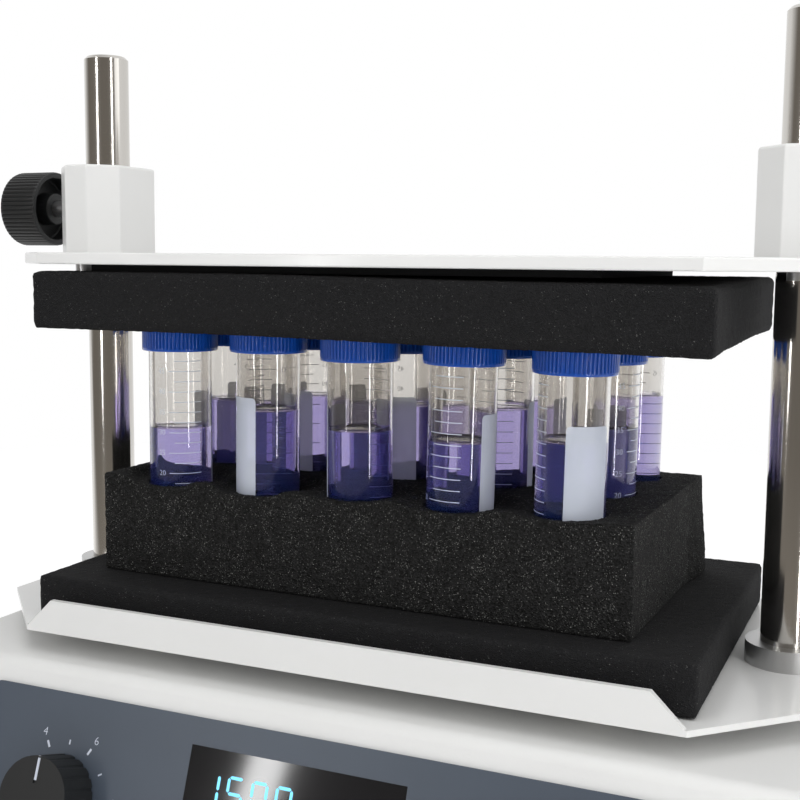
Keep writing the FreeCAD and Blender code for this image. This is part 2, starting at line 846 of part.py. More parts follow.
def make_crank():
    shaft_bottom = f"({DRIVE_PLATE} - shaft_in_motor)"
    shaft_top = f"({CRANK_TOP} - crank_throw)"
    shaft = rod("shaft_radius", f"{shaft_top} - {shaft_bottom}", MOTOR_X, "0", shaft_bottom)
    finish("motor_shaft", shaft)
    hub = rod("crank_radius", "crank_height", MOTOR_X, "0", CRANK_BOTTOM)
    sector = doc.addObject("Part::Cylinder", "weight")
    bind(sector, "Radius", "weight_radius")
    bind(sector, "Height", "weight_height")
    bind(sector, "Angle", "weight_angle")
    opposite = FreeCAD.Rotation(V(0, 0, 1), 180 - sheet.get("weight_angle") / 2)
    place(sector, MOTOR_X, "0", CRANK_BOTTOM, opposite)
    pin = rod("pin_radius", f"{TRAY_BOTTOM} - pin_top_gap - {CRANK_TOP}", "0", "0", CRANK_TOP)
    bore = rod("shaft_radius + fit_clearance", f"{shaft_top} - {CRANK_BOTTOM}", MOTOR_X, "0", CRANK_BOTTOM)
    level = f"({CRANK_TOP} - weight_height / 2)"
    sideways = FreeCAD.Rotation(V(0, 1, 0), 90)
    reach = f"{MOTOR_X} + shaft_radius + fit_clearance"
    hole = rod("screw_radius + fit_clearance", "crank_radius", reach, "0", level, sideways)
    finish("crank", cut(join(hub, sector, pin), bore, hole))
    grub_length = "crank_radius - shaft_radius - 2 * fit_clearance"
    finish("crank_grub_screw", rod("screw_radius", grub_length, reach, "0", level, sideways))


def make_idlers():
    posts = []
    bearings = []
    bushes = []
    spans = [f"{DRIVE_TOP} + idler_disc_gap", f"{DRIVE_TOP} + idler_post_height - idler_bearing_width"]
    for label, (side_x, side_y) in IDLERS.items():
        pin_x = f"{side_x} * {IDLER_X}"
        axis_x = f"({pin_x} - crank_throw)"
        y = f"{side_y} * idler_y"
        posts.append(ring("idler_post_radius", "idler_bearing_radius + fit_clearance", "idler_post_height",
                          axis_x, y, DRIVE_TOP))
        for level in spans:
            bearings.append(ring("idler_bearing_radius", "idler_shaft_radius + running_clearance",
                                 "idler_bearing_width", axis_x, y, level))
        disc_z = f"({DRIVE_TOP} + idler_post_height + idler_disc_gap)"
        disc_top = f"({disc_z} + idler_disc_height)"
        shaft = rod("idler_shaft_radius", f"{disc_z} - {DRIVE_TOP} - idler_disc_gap", axis_x, y,
                    f"{DRIVE_TOP} + idler_disc_gap")
        disc = rod("idler_disc_radius", "idler_disc_height", axis_x, y, disc_z)
        pin = rod("idler_pin_radius", f"{TRAY_BOTTOM} - pin_top_gap - {disc_top}", pin_x, y, disc_top)
        finish(label, join(shaft, disc, pin))
        bushes.append(ring("idler_bush_radius", "idler_pin_radius + idler_loop_clearance",
                           "idler_bush_length", pin_x, y, f"{TRAY_BOTTOM} - idler_bush_length"))
    finish("idler_posts", group(*posts))
    finish("idler_bearings", group(*bearings))
    finish("idler_bushes", group(*bushes))


# Platform: tray, hub, columns

HUB_SCREWS = [
    (f"{side_x} * hub_screw_circle / sqrt(2)", f"{side_y} * hub_screw_circle / sqrt(2)")
    for side_x, side_y in CORNERS
]


def eight_sided(made, reach, front, corner):
    """A plan with straight front and back edges and ends drawn in at 45 degrees."""
    shoulder = f"({front} - ({reach} - {corner}))"
    outline(made, [
        (f"-{corner}", f"-{front}"), (corner, f"-{front}"),
        (reach, f"-{shoulder}"), (reach, shoulder),
        (corner, front), (f"-{corner}", front),
        (f"-{reach}", shoulder), (f"-{reach}", f"-{shoulder}"),
    ])


def make_tray():
    owner = body("platform_tray")
    plan = sketch(owner)
    eight_sided(plan, f"({COLUMN_X} + tray_end)", "tray_front", "tray_corner")
    floor = pad(owner, plan, "tray_thickness")
    soften(owner, floor, "tray_round", upright)
    for lift in ("tray_front", "-(tray_front - tray_thickness)"):
        lip = sketch(owner, "XZ_Plane", lift)
        outline(lip, [
            ("-tray_corner + tray_round", "0"),
            ("tray_corner - tray_round", "0"),
            ("tray_corner - tray_round", "tray_thickness"),
            ("tray_corner - lip_slant", "lip_height"),
            ("-tray_corner + lip_slant", "lip_height"),
            ("-tray_corner + tray_round", "tray_thickness"),
        ])
        pad(owner, lip, "tray_thickness", reverse=True)
    holes = sketch(owner)
    for side in SIDES.values():
        circle(holes, f"{side} * {COLUMN_X}", "0", "spigot_radius + fit_clearance")
    for x, y in HUB_SCREWS:
        circle(holes, x, y, "screw_radius + fit_clearance")
    pocket(owner, holes, reverse=True)
    finish("platform_tray", place(owner, z=TRAY_BOTTOM))


def make_hub():
    owner = body("drive_hub")
    bottom = f"({TRAY_BOTTOM} - hub_depth)"
    half = sketch(owner, "XZ_Plane")
    seat_top = "bearing_lift + bearing_width"
    clear = "pin_radius + 2 * open_clearance"
    outline(half, [
        ("bearing_radius + fit_clearance", "0"),
        ("hub_radius", "0"),
        ("hub_radius", "hub_depth - hub_flange_thickness"),
        ("hub_flange_radius", "hub_depth - hub_flange_thickness"),
        ("hub_flange_radius", "hub_depth"),
        (clear, "hub_depth"),
        (clear, seat_top),
        ("bearing_radius + fit_clearance", seat_top),
    ])
    revolve(owner, half)
    holes = sketch(owner, lift="hub_depth")
    for x, y in HUB_SCREWS:
        circle(holes, x, y, "screw_radius + fit_clearance")
    pocket(owner, holes)
    finish("drive_hub", place(owner, z=bottom))
    finish("hub_bearing", ring("bearing_radius", "pin_radius + running_clearance", "bearing_width",
                               "0", "0", f"{bottom} + bearing_lift"))
    grip = "hub_flange_thickness + tray_thickness"
    seat = f"({TRAY_BOTTOM} - hub_flange_thickness)"
    finish("hub_screws", group(*[screw(x, y, seat, grip=grip) for x, y in HUB_SCREWS]))


def make_columns():
    collars = []
    nuts = []
    for name, side in SIDES.items():
        x = f"{side} * {COLUMN_X}"
        owner = body(f"{name}_column")
        half = sketch(owner, "XZ_Plane")
        top = f"({BLOCK_TOP} - {TRAY_TOP} + column_above)"
        foot = "-(tray_thickness + nut_height)"
        outline(half, [
            ("0", foot),
            ("spigot_radius", foot),
            ("spigot_radius", "0"),
            ("column_radius", "0"),
            ("column_radius", f"{top} - column_end"),
            ("column_radius - column_end", top),
            ("0", top),
        ])
        revolve(owner, half)
        finish(f"{name}_column", place(owner, x, "0", TRAY_TOP))
        collar_bore = "column_radius + fit_clearance"
        collars.append(ring("collar_radius", collar_bore, "collar_height", x, "0", TRAY_TOP))
        prism = doc.addObject("Part::Prism", "nut")
        prism.Polygon = 6
        bind(prism, "Circumradius", "nut_radius")
        bind(prism, "Height", "nut_height")
        nut_z = f"{TRAY_BOTTOM} - nut_height"
        place(prism, x, "0", nut_z)
        nuts.append(cut(prism, rod("spigot_radius + fit_clearance", "nut_height", x, "0", nut_z)))
    finish("column_collars", group(*collars))
    finish("column_nuts", group(*nuts))


# Foam pads, rack, tubes, caps and liquid

def grid_place(owner, z):
    """Stand a piece that repeats over the tubes with its first copy at the first tube."""
    angle = sheet.get("rack_turn")
    first_x = "(tube_pitch * (tube_count - 1) / 2)"
    first_y = "(row_pitch * (row_count - 1) / 2)"
    x = f"rack_x - {first_x} * cos(rack_turn) + {first_y} * sin(rack_turn)"
    y = f"rack_y - {first_x} * sin(rack_turn) - {first_y} * cos(rack_turn)"
    return place(owner, x, y, z, FreeCAD.Rotation(V(0, 0, 1), angle))


def foam_slab(name, thickness):
    owner = body(name)
    plan = sketch(owner)
    rectangle(plan, "pad_length", "pad_depth")
    block = pad(owner, plan, thickness)
    soften(owner, block, "pad_round", upright)
    return owner


def make_pads():
    finish("lower_pad", place(foam_slab("lower_pad", "lower_pad_thickness"), z=TRAY_TOP))
    sheet_of_foam = place(foam_slab("upper_foam", "upper_pad_thickness"), z=UPPER_PAD)
    dents = body("cap_dents")
    plan = sketch(dents)
    circle(plan, "0", "0", "cap_radius + foam_clearance")
    dent_depth = "(cap_base + cap_height + foam_clearance - upper_pad_height)"
    dent = pad(dents, plan, f"2 * {dent_depth}", symmetric=True)
    grid(dents, dent)
    grid_place(dents, UPPER_PAD)
    finish("upper_pad", cut(sheet_of_foam, dents))


def make_rack():
    owner = body("tube_rack")
    plan = sketch(owner)
    middle_x = "(tube_pitch * (tube_count - 1) / 2)"
    middle_y = "(row_pitch * (row_count - 1) / 2)"
    rectangle(plan, "rack_length", "rack_depth", middle_x, middle_y)
    block = pad(owner, plan, "rack_height")
    soften(owner, block, "rack_round", upright)
    well = sketch(owner)
    circle(well, "0", "0", "tube_radius + foam_clearance")
    hole = pocket(owner, well, reverse=True)
    grid(owner, hole)
    finish("tube_rack", grid_place(owner, PAD_TOP))


def make_tubes():
    bore = "tube_radius - tube_wall"
    owner = body("sample_tubes")
    half = sketch(owner, "XZ_Plane")
    outline(half, [
        ("0", "0"),
        ("tip_radius", "0"),
        ("tube_radius", "cone_height"),
        ("tube_radius", "tube_length"),
        (bore, "tube_length"),
        (bore, "cone_height"),
        ("tip_radius - tube_wall", "tube_floor"),
        ("0", "tube_floor"),
    ])
    grid(owner, revolve(owner, half))
    finish("sample_tubes", grid_place(owner, PAD_TOP))

    owner = body("tube_liquid")
    half = sketch(owner, "XZ_Plane")
    edge = f"{bore} - liquid_clearance"
    floor = "tube_floor + liquid_clearance"
    outline(half, [
        ("0", floor),
        ("tip_radius - tube_wall - liquid_clearance", floor),
        (edge, "cone_height + liquid_clearance"),
        (edge, "liquid_height"),
        ("0", "liquid_height"),
    ])
    grid(owner, revolve(owner, half))
    finish("tube_liquid", grid_place(owner, PAD_TOP))

    owner = body("tube_caps")
    half = sketch(owner, "XZ_Plane")
    top = "(cap_base + cap_height)"
    outline(half, [
        ("tube_radius + cap_clearance", "cap_base"),
        ("cap_radius", "cap_base"),
        ("cap_radius", f"{top} - cap_round"),
        ("cap_radius - cap_round", top),
        ("0", top),
        ("0", f"{top} - cap_top"),
        ("tube_radius + cap_clearance", f"{top} - cap_top"),
    ])
    grid(owner, revolve(owner, half))
    finish("tube_caps", grid_place(owner, PAD_TOP))


# Clamp: plate, pad backing, blocks, slide bushes and knobs

BLOCK_SCREWS = [
    (f"{side} * {COLUMN_X}", f"{end} * block_screw_place")
    for side in SIDES.values()
    for end in (-1, 1)
]
SLIDE_BORE = "(column_radius + slide_bush_wall + running_clearance)"


def make_clamp_plate():
    owner = body("clamp_plate")
    plan = sketch(owner)
    eight_sided(plan, f"({COLUMN_X} + plate_end)", "plate_front", "plate_corner")
    plate = pad(owner, plan, "plate_thickness")
    soften(owner, plate, "plate_round")
    holes = sketch(owner)
    for side in SIDES.values():
        circle(holes, f"{side} * {COLUMN_X}", "0", f"{SLIDE_BORE} + fit_clearance")
    for x, y in BLOCK_SCREWS:
        circle(holes, x, y, "screw_radius + fit_clearance")
    pocket(owner, holes, reverse=True)
    finish("clamp_plate", place(owner, z=PLATE))
    backing = slab("backing_length", "backing_depth", "backing_thickness", "backing_x", "0", BACKING)
    finish("pad_backing", backing)
    grip = "plate_thickness + screw_grip"
    finish("block_screws", group(*[screw(x, y, PLATE, grip=grip) for x, y in BLOCK_SCREWS]))


def make_blocks():
    bushes = []
    for name, side in SIDES.items():
        owner = body(f"{name}_block")
        plan = sketch(owner)
        wide = "block_width / 2"
        deep = "block_depth / 2"
        outline(plan, [
            (f"-{wide} + block_chamfer", f"-{deep}"), (f"{wide} - block_chamfer", f"-{deep}"),
            (wide, f"-{deep} + block_chamfer"), (wide, f"{deep} - block_chamfer"),
            (f"{wide} - block_chamfer", deep), (f"-{wide} + block_chamfer", deep),
            (f"-{wide}", f"{deep} - block_chamfer"), (f"-{wide}", f"-{deep} + block_chamfer"),
        ])
        prism = pad(owner, plan, "block_height")
        soften(owner, prism, "block_round", above_bottom)
        bore = sketch(owner)
        circle(bore, "0", "0", f"{SLIDE_BORE} + fit_clearance")
        pocket(owner, bore, reverse=True)
        threads = sketch(owner)
        for end in (-1, 1):
            circle(threads, "0", f"{end} * block_screw_place", "screw_radius + fit_clearance")
        pocket(owner, threads, "screw_grip + open_clearance", reverse=True)
        stud_hole = sketch(owner, "YZ_Plane")
        circle(stud_hole, "0", "stud_lift", "stud_radius + running_clearance")
        pocket(owner, stud_hole, reverse=side > 0)
        x = f"{side} * {COLUMN_X}"
        finish(f"{name}_block", place(owner, x, "0", PLATE_TOP))
        sleeve = ring(SLIDE_BORE, "column_radius + running_clearance", "plate_thickness + block_height",
                      x, "0", PLATE)
        outward = FreeCAD.Rotation(V(0, 1, 0), 90 * side)
        stud_z = f"{PLATE_TOP} + stud_lift"
        window = rod("stud_radius + open_clearance", "block_width", x, "0", stud_z, outward)
        bushes.append(cut(sleeve, window))
    finish("slide_bushes", group(*bushes))


def make_clamp_knobs():
    for name, side in SIDES.items():
        outward = FreeCAD.Rotation(V(0, 1, 0), 90 * side)
        height = f"({PLATE_TOP} + stud_lift)"
        rim_x = f"({COLUMN_X} + block_width / 2 + knob_gap)"
        owner = body(f"{name}_knob")
        half = sketch(owner, "XZ_Plane")
        hollow = "knob_radius - knob_rim"
        outline(half, [
            ("stud_radius + fit_clearance", "0"),
            ("knob_boss_radius", "0"),
            ("knob_boss_radius", "knob_hollow"),
            (hollow, "knob_hollow"),
            (hollow, "0"),
            ("knob_radius", "0"),
            ("knob_radius", "knob_length - knob_edge"),
            ("knob_radius - knob_edge", "knob_length"),
            ("0", "knob_length"),
            ("0", "stud_grip"),
            ("stud_radius + fit_clearance", "stud_grip"),
        ])
        revolve(owner, half)
        flute = sketch(owner)
        circle(flute, "knob_radius + knob_flute_radius / 2", "0", "knob_flute_radius")
        groove = pocket(owner, flute, reverse=True)
        around(owner, groove, "knob_flutes")
        finish(f"{name}_knob", place(owner, f"{side} * {rim_x}", "0", height, outward))
        tip_x = "(column_radius + stud_gap)"
        length = f"{rim_x} + stud_grip - {COLUMN_X} - {tip_x}"
        stud = rod("stud_radius", length, f"{side} * ({COLUMN_X} + {tip_x})", "0", height, outward)
        finish(f"{name}_stud", stud)


def check_and_write():
    """Stop on any failed object or bad shape; then write one file for each piece."""
    doc.recompute()
    for thing in doc.Objects:
        if "Invalid" in thing.State or "Error" in thing.State:
            raise RuntimeError(f"{thing.Label}: {thing.State}")
    for label, thing in parts.items():
        if thing.Shape.isNull() or not thing.Shape.isValid() or not thing.Shape.Solids:
            raise RuntimeError(f"{label}: bad shape")
    os.makedirs("parts", exist_ok=True)
    for label, thing in parts.items():
        thing.Shape.exportStep(os.path.join("parts", f"{label}.step"))
        box = thing.Shape.BoundBox
        low = f"{box.XMin:.1f} {box.YMin:.1f} {box.ZMin:.1f}"
        high = f"{box.XMax:.1f} {box.YMax:.1f} {box.ZMax:.1f}"
        print(f"{label}: {len(thing.Shape.Solids)} solids, {low} to {high}")


make_feet()
make_base_plate()
make_housing()
make_panel()
make_dials()
make_buttons()
make_rear()
make_electronics()
make_drive_plate()
make_motor()
make_crank()
make_idlers()
make_tray()
make_hub()
make_columns()
make_pads()
make_rack()
make_tubes()
make_clamp_plate()
make_blocks()
make_clamp_knobs()
check_and_write()
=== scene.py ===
# %% [markdown]
# # A multi-tube vortex mixer, dressed for its portrait
#
# The solids of the mixer come ready made: base, drive, platform, columns, clamp. This lesson gives
# them their looks. Sheet metal and plastic keep their solids and get finishes. The soft and clear
# things, foam, tubes, caps and liquid, are modelled again in mesh code, because their charm lies in
# irregular edges, ribs and refraction that a plain solid doesn't have.
#
# The frame is that of the solids, in metres: +X right, +Y back, +Z up. Profiles and drawings are
# written in millimetres and turned into metres where they are used.

# %% Load the solids
import json
import math

import bpy
import numpy as np
from mathutils import Matrix, Vector, noise


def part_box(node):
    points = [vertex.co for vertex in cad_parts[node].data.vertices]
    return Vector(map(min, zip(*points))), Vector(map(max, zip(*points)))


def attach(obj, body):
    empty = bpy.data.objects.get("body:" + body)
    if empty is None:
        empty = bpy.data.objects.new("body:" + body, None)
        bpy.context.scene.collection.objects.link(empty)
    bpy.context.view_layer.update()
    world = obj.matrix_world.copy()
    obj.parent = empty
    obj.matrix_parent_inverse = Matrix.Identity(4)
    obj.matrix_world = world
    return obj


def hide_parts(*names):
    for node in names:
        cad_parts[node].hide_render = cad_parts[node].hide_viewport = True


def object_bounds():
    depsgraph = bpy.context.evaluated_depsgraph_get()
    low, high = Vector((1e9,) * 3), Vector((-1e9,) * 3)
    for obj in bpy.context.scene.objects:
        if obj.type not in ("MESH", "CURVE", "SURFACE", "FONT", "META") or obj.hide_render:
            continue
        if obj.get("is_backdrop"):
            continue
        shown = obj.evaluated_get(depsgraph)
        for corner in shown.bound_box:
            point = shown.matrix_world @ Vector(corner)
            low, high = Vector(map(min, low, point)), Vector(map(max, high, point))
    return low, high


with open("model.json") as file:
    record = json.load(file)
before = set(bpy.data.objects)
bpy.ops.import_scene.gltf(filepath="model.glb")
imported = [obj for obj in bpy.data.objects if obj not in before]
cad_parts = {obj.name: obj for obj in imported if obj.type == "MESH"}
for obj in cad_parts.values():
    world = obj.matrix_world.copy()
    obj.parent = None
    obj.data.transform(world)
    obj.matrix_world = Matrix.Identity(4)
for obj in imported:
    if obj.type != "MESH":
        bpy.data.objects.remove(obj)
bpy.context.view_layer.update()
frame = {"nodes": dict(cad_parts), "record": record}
scene = bpy.context.scene
scene.view_settings.view_transform = "Standard"
nodes = frame["nodes"]
MM = 0.001

# %% [markdown]
# ## The camera
#
# The photograph was taken close by, a little above the clamp's foam, from the right. A camera could
# be placed by eye, but then no edge could be trusted, so its place and lens were found by fitting the
# tubes, pads and plate to their edges in the picture. A camera looks along its own -Z, so the three
# axes of its matrix are: right, up, and the opposite of the view.

# %% Place the camera
CAMERA_PLACE = Vector((0.22214, -0.51677, 0.31891))
YAW, PITCH, ROLL = (math.radians(angle) for angle in (23.873, 6.479, 0.533))
FOCAL_PIXELS = 1217.25
PHOTO_PIXELS = 800
SENSOR = 36.0

view = Vector((-math.sin(YAW) * math.cos(PITCH), math.cos(YAW) * math.cos(PITCH), -math.sin(PITCH)))
level_right = Vector((math.cos(YAW), math.sin(YAW), 0))
level_up = level_right.cross(view)
right = math.cos(ROLL) * level_right + math.sin(ROLL) * level_up
up = -math.sin(ROLL) * level_right + math.cos(ROLL) * level_up

camera_data = bpy.data.cameras.new("portrait")
camera_data.sensor_width = SENSOR
camera_data.lens = FOCAL_PIXELS * SENSOR / PHOTO_PIXELS
camera_data.clip_start = 10 * MM
camera = bpy.data.objects.new("portrait", camera_data)
axes = Matrix((right, up, -view)).transposed().to_4x4()
camera.matrix_world = Matrix.Translation(CAMERA_PLACE) @ axes
scene.collection.objects.link(camera)
scene.camera = camera
print("lens in millimetres:", round(camera_data.lens, 2))

# %% [markdown]
# ## Wiring nodes
#
# Room, floor and finishes are all node trees. A few helpers make and wire the nodes that return most
# often, so that a tree reads like a formula. Each takes plain values or other nodes' outputs alike.

# %% Make a node and set its inputs
def connect(socket, value):
    """Give an input a plain value, or link another node's output to it."""
    if isinstance(value, bpy.types.NodeSocket):
        socket.id_data.links.new(value, socket)
    else:
        socket.default_value = value


def set_inputs(made, **values):
    """Set or link a node's inputs by name; an underscore stands for a space."""
    for name, value in values.items():
        connect(made.inputs[name.replace("_", " ")], value)


def node(tree, kind, **values):
    made = tree.nodes.new(kind)
    set_inputs(made, **values)
    return made


print("wiring:", ", ".join(helper.__name__ for helper in (connect, set_inputs, node)))

# %% Nodes that return often
COLOUR_A, COLOUR_B, MIXED_COLOUR = 6, 7, 2


def maths(tree, operation, *values):
    made = tree.nodes.new("ShaderNodeMath")
    made.operation = operation
    for socket, value in zip(made.inputs, values):
        connect(socket, value)
    return made.outputs[0]


def fade(tree, value, start, end, low=0.0, high=1.0):
    """Low where the value is at start, high where it is at end, and evenly between them."""
    made = node(tree, "ShaderNodeMapRange", Value=value, To_Min=low, To_Max=high)
    set_inputs(made, From_Min=start, From_Max=end)
    return made.outputs[0]


def mix_colours(tree, factor, first, second):
    """A Mix node keeps the sockets of all its data types, so the colour ones go by their numbers."""
    made = node(tree, "ShaderNodeMix", Factor=factor)
    made.data_type = "RGBA"
    connect(made.inputs[COLOUR_A], first)
    connect(made.inputs[COLOUR_B], second)
    return made.outputs[MIXED_COLOUR]


def mix_shaders(tree, factor, first, second):
    made = tree.nodes.new("ShaderNodeMixShader")
    for socket, value in zip(made.inputs, (factor, first.outputs[0], second.outputs[0])):
        connect(socket, value)
    return made


print("shorthands:", ", ".join(helper.__name__ for helper in (maths, fade, mix_colours, mix_shaders)))

# %% [markdown]
# ## Floor, room and lamps
#
# The picture was cut out on white, so the room is white to the camera and through the clear tubes.
# What shines back from metal is another matter: there the dim room behind the photographer shows,
# and that gives steel its dark bands. So mirror rays see white at the back and a warm grey at the
# front, and only a plain level of fill falls on the matt surfaces. A picture of a studio could light
# the scene as well; a few nodes need no file and are easier to tune.
#
# Clear tubes stand three deep, and a look through them crosses many surfaces, so a path gets more
# bounces than usual before it ends.

# %% What rays see of the room
FILL = 0.55
ROOM_FRONT = (0.20, 0.182, 0.16, 1)
WHITE = (1, 1, 1, 1)
ROOM_TURN = (-0.35, 0.30)
BOUNCES = 28

scene.cycles.max_bounces = BOUNCES
scene.cycles.transmission_bounces = BOUNCES
scene.cycles.transparent_max_bounces = BOUNCES


def mirrored_room(tree, place, turn):
    """The room's colour to mirror rays, dim to white between two values of the place's Y."""
    parts = node(tree, "ShaderNodeSeparateXYZ", Vector=place)
    return mix_colours(tree, fade(tree, parts.outputs["Y"], *turn), ROOM_FRONT, WHITE)


def seen_straight(tree, path):
    """1 for rays from the camera, also through clear things."""
    return maths(tree, "MAXIMUM", path.outputs["Is Camera Ray"], path.outputs["Is Transmission Ray"])


print("bounces:", BOUNCES)

# %% Build the room
world = bpy.data.worlds.new("white_room")
world.use_nodes = True
scene.world = world
tree = world.node_tree
tree.nodes.clear()
path = node(tree, "ShaderNodeLightPath")
direction = node(tree, "ShaderNodeTexCoord").outputs["Generated"]
fill_light = node(tree, "ShaderNodeBackground", Color=WHITE, Strength=FILL)
mirror_light = node(tree, "ShaderNodeBackground", Color=mirrored_room(tree, direction, ROOM_TURN))
white_light = node(tree, "ShaderNodeBackground", Color=WHITE)
matt_or_mirror = mix_shaders(tree, path.outputs["Is Glossy Ray"], fill_light, mirror_light)
all_rays = mix_shaders(tree, seen_straight(tree, path), matt_or_mirror, white_light)
node(tree, "ShaderNodeOutputWorld", Surface=all_rays.outputs[0])
print("room nodes:", len(tree.nodes))

# %% [markdown]
# The floor is a matt white sheet that takes the mixer's soft shadow. To the camera it also glows a
# little, and with distance it turns into the room's plain white, so that no horizon shows.

# %% Lay the floor
FLOOR_HALF = 4.0

floor_mesh = bpy.data.meshes.new("floor")
floor_corners = [(x * FLOOR_HALF, y * FLOOR_HALF, 0) for x, y in ((-1, -1), (1, -1), (1, 1), (-1, 1))]
floor_mesh.from_pydata(floor_corners, [], [(0, 1, 2, 3)])
floor = bpy.data.objects.new("floor", floor_mesh)
scene.collection.objects.link(floor)
floor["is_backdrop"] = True
print("floor side in metres:", 2 * FLOOR_HALF)

# %% Finish the floor
FLOOR_TURN = (-0.45, 0.15)
FLOOR_COLOUR = (0.9, 0.9, 0.9, 1)
FLOOR_FADE = (0.5, 1.6)
FLOOR_SEEN = 0.5
FLOOR_GLOW = 1.36

floor_finish = bpy.data.materials.new("floor_white")
floor_finish.use_nodes = True
floor_mesh.materials.append(floor_finish)
tree = floor_finish.node_tree
tree.nodes.clear()
path = node(tree, "ShaderNodeLightPath")
mirror_ray = path.outputs["Is Glossy Ray"]
spot = node(tree, "ShaderNodeNewGeometry").outputs["Position"]
reach = tree.nodes.new("ShaderNodeVectorMath")
reach.operation = "LENGTH"
connect(reach.inputs[0], spot)
distance = reach.outputs["Value"]
tone = mix_colours(tree, mirror_ray, WHITE, mirrored_room(tree, spot, FLOOR_TURN))
glow = fade(tree, distance, *FLOOR_FADE, FLOOR_GLOW, 1.0)
seen = maths(tree, "MULTIPLY", seen_straight(tree, path), fade(tree, distance, *FLOOR_FADE, FLOOR_SEEN, 1.0))
matt_floor = node(tree, "ShaderNodeBsdfDiffuse", Color=FLOOR_COLOUR)
bright_floor = node(tree, "ShaderNodeEmission", Color=tone, Strength=glow)
floor_mix = mix_shaders(tree, maths(tree, "MAXIMUM", seen, mirror_ray), matt_floor, bright_floor)
node(tree, "ShaderNodeOutputMaterial", Surface=floor_mix.outputs[0])
print("floor nodes:", len(tree.nodes))

# %% [markdown]
# Two narrow upright lamps stand left and right of the photographer: they draw the thin bright lines
# down every tube, cap and column. The lines' places on five tubes tell where the lamps stood. A wide
# soft lamp overhead does the plain lighting, and a weaker one lights the right side.

# %% Hang the lamps
LAMPS = {
    # name: place, aim, width, height, power in watts
    "strip_right": ((0.59, -0.40, 0.40), (0, 0, 0.40), 0.035, 0.80, 1.7),
    "strip_left": ((-0.36, -0.76, 0.50), (0, 0, 0.50), 0.035, 0.66, 1.4),
    "side": ((1.25, 0.05, 0.85), (0, 0, 0.25), 0.7, 0.7, 1.5),
    "overhead": ((0.15, -0.35, 1.55), (0, 0, 0.20), 1.3, 1.0, 6.6),
}
for name, (place, aim, width, height, power) in LAMPS.items():
    lamp_data = bpy.data.lights.new(name, "AREA")
    lamp_data.shape = "RECTANGLE"
    lamp_data.size = width
    lamp_data.size_y = height
    lamp_data.energy = power
    lamp = bpy.data.objects.new(name, lamp_data)
    lamp.location = place
    lamp.rotation_euler = (Vector(aim) - Vector(place)).to_track_quat("-Z", "Y").to_euler()
    scene.collection.objects.link(lamp)
print("lamps:", ", ".join(LAMPS))

# %% [markdown]
# ## Shared surface effects
#
# Three effects return on many finishes, so each is a node group: a fine grain for paint and moulded
# plastic, the cells of open foam, and the drawing streaks of bar steel. They could be painted as
# images, but noise in the object's own space needs no unwrapping and stays sharp from near by. A
# group puts out heights and masks only; each material decides what they do to colour, roughness and
# bump.

# %% A fine grain for paint, plastic and rubber
def new_group(name, inputs, outputs):
    group = bpy.data.node_groups.new(name, "ShaderNodeTree")
    for label, value in inputs.items():
        socket = group.interface.new_socket(label, in_out="INPUT", socket_type="NodeSocketFloat")
        socket.default_value = value
    for label in outputs:
        group.interface.new_socket(label, in_out="OUTPUT", socket_type="NodeSocketFloat")
    return group, group.nodes.new("NodeGroupInput"), group.nodes.new("NodeGroupOutput")


fine_grain, entry, leave = new_group("fine_grain", {"Grains": 1500.0, "Patches": 25.0}, ["Height", "Tone"])
spot = node(fine_grain, "ShaderNodeTexCoord").outputs["Object"]
grains = node(fine_grain, "ShaderNodeTexNoise", Vector=spot, Scale=entry.outputs["Grains"], Detail=2.0)
patches = node(fine_grain, "ShaderNodeTexNoise", Vector=spot, Scale=entry.outputs["Patches"], Detail=4.0)
set_inputs(leave, Height=grains.outputs[0], Tone=patches.outputs[0])
print("group:", fine_grain.name)

# %% [markdown]
# Each cell of the foam has a chance of its own, and the luckiest cells get a painted glint: bright
# specks in the colour that stand in for lamp light caught by broken cell walls. A slow noise moves the
# chance up and down, so the specks stand in loose clusters, and a power makes most of them dim.

# %% The cells of open foam, with painted glints
DRIFTS = 90.0
DRIFT_SPREAD = (0.35, 0.65)
CLUSTER_SHARES = (0.3, 1.7)
DIMMING = 3.5

foam_cells, entry, leave = new_group(
    "foam_cells", {"Cells": 1100.0, "Specks": 2000.0, "Speck share": 0.06}, ["Height", "Speck", "Tone"])
spot = node(foam_cells, "ShaderNodeTexCoord").outputs["Object"]
cells = node(foam_cells, "ShaderNodeTexVoronoi", Vector=spot, Scale=entry.outputs["Cells"])
mottle = node(foam_cells, "ShaderNodeSeparateColor", Color=cells.outputs["Color"])
# Painted glints: the luckiest cells become bright specks in the colour, standing in for lamp light caught by
# cell walls.
glints = node(foam_cells, "ShaderNodeTexVoronoi", Vector=spot, Scale=entry.outputs["Specks"])
luck = node(foam_cells, "ShaderNodeSeparateColor", Color=glints.outputs["Color"])
drifts = node(foam_cells, "ShaderNodeTexNoise", Vector=spot, Scale=DRIFTS, Detail=3.0)
clusters = fade(foam_cells, drifts.outputs[0], *DRIFT_SPREAD, *CLUSTER_SHARES)
share = maths(foam_cells, "MULTIPLY", entry.outputs["Speck share"], clusters)
lucky = maths(foam_cells, "GREATER_THAN", luck.outputs[0], maths(foam_cells, "SUBTRACT", 1.0, share))
painted_glint = maths(foam_cells, "MULTIPLY", maths(foam_cells, "POWER", luck.outputs[1], DIMMING), lucky)
set_inputs(leave, Height=cells.outputs["Distance"], Speck=painted_glint, Tone=mottle.outputs[2])
print("group:", foam_cells.name)

# %% The streaks of drawn bar steel
BROAD_STREAKS = 120.0

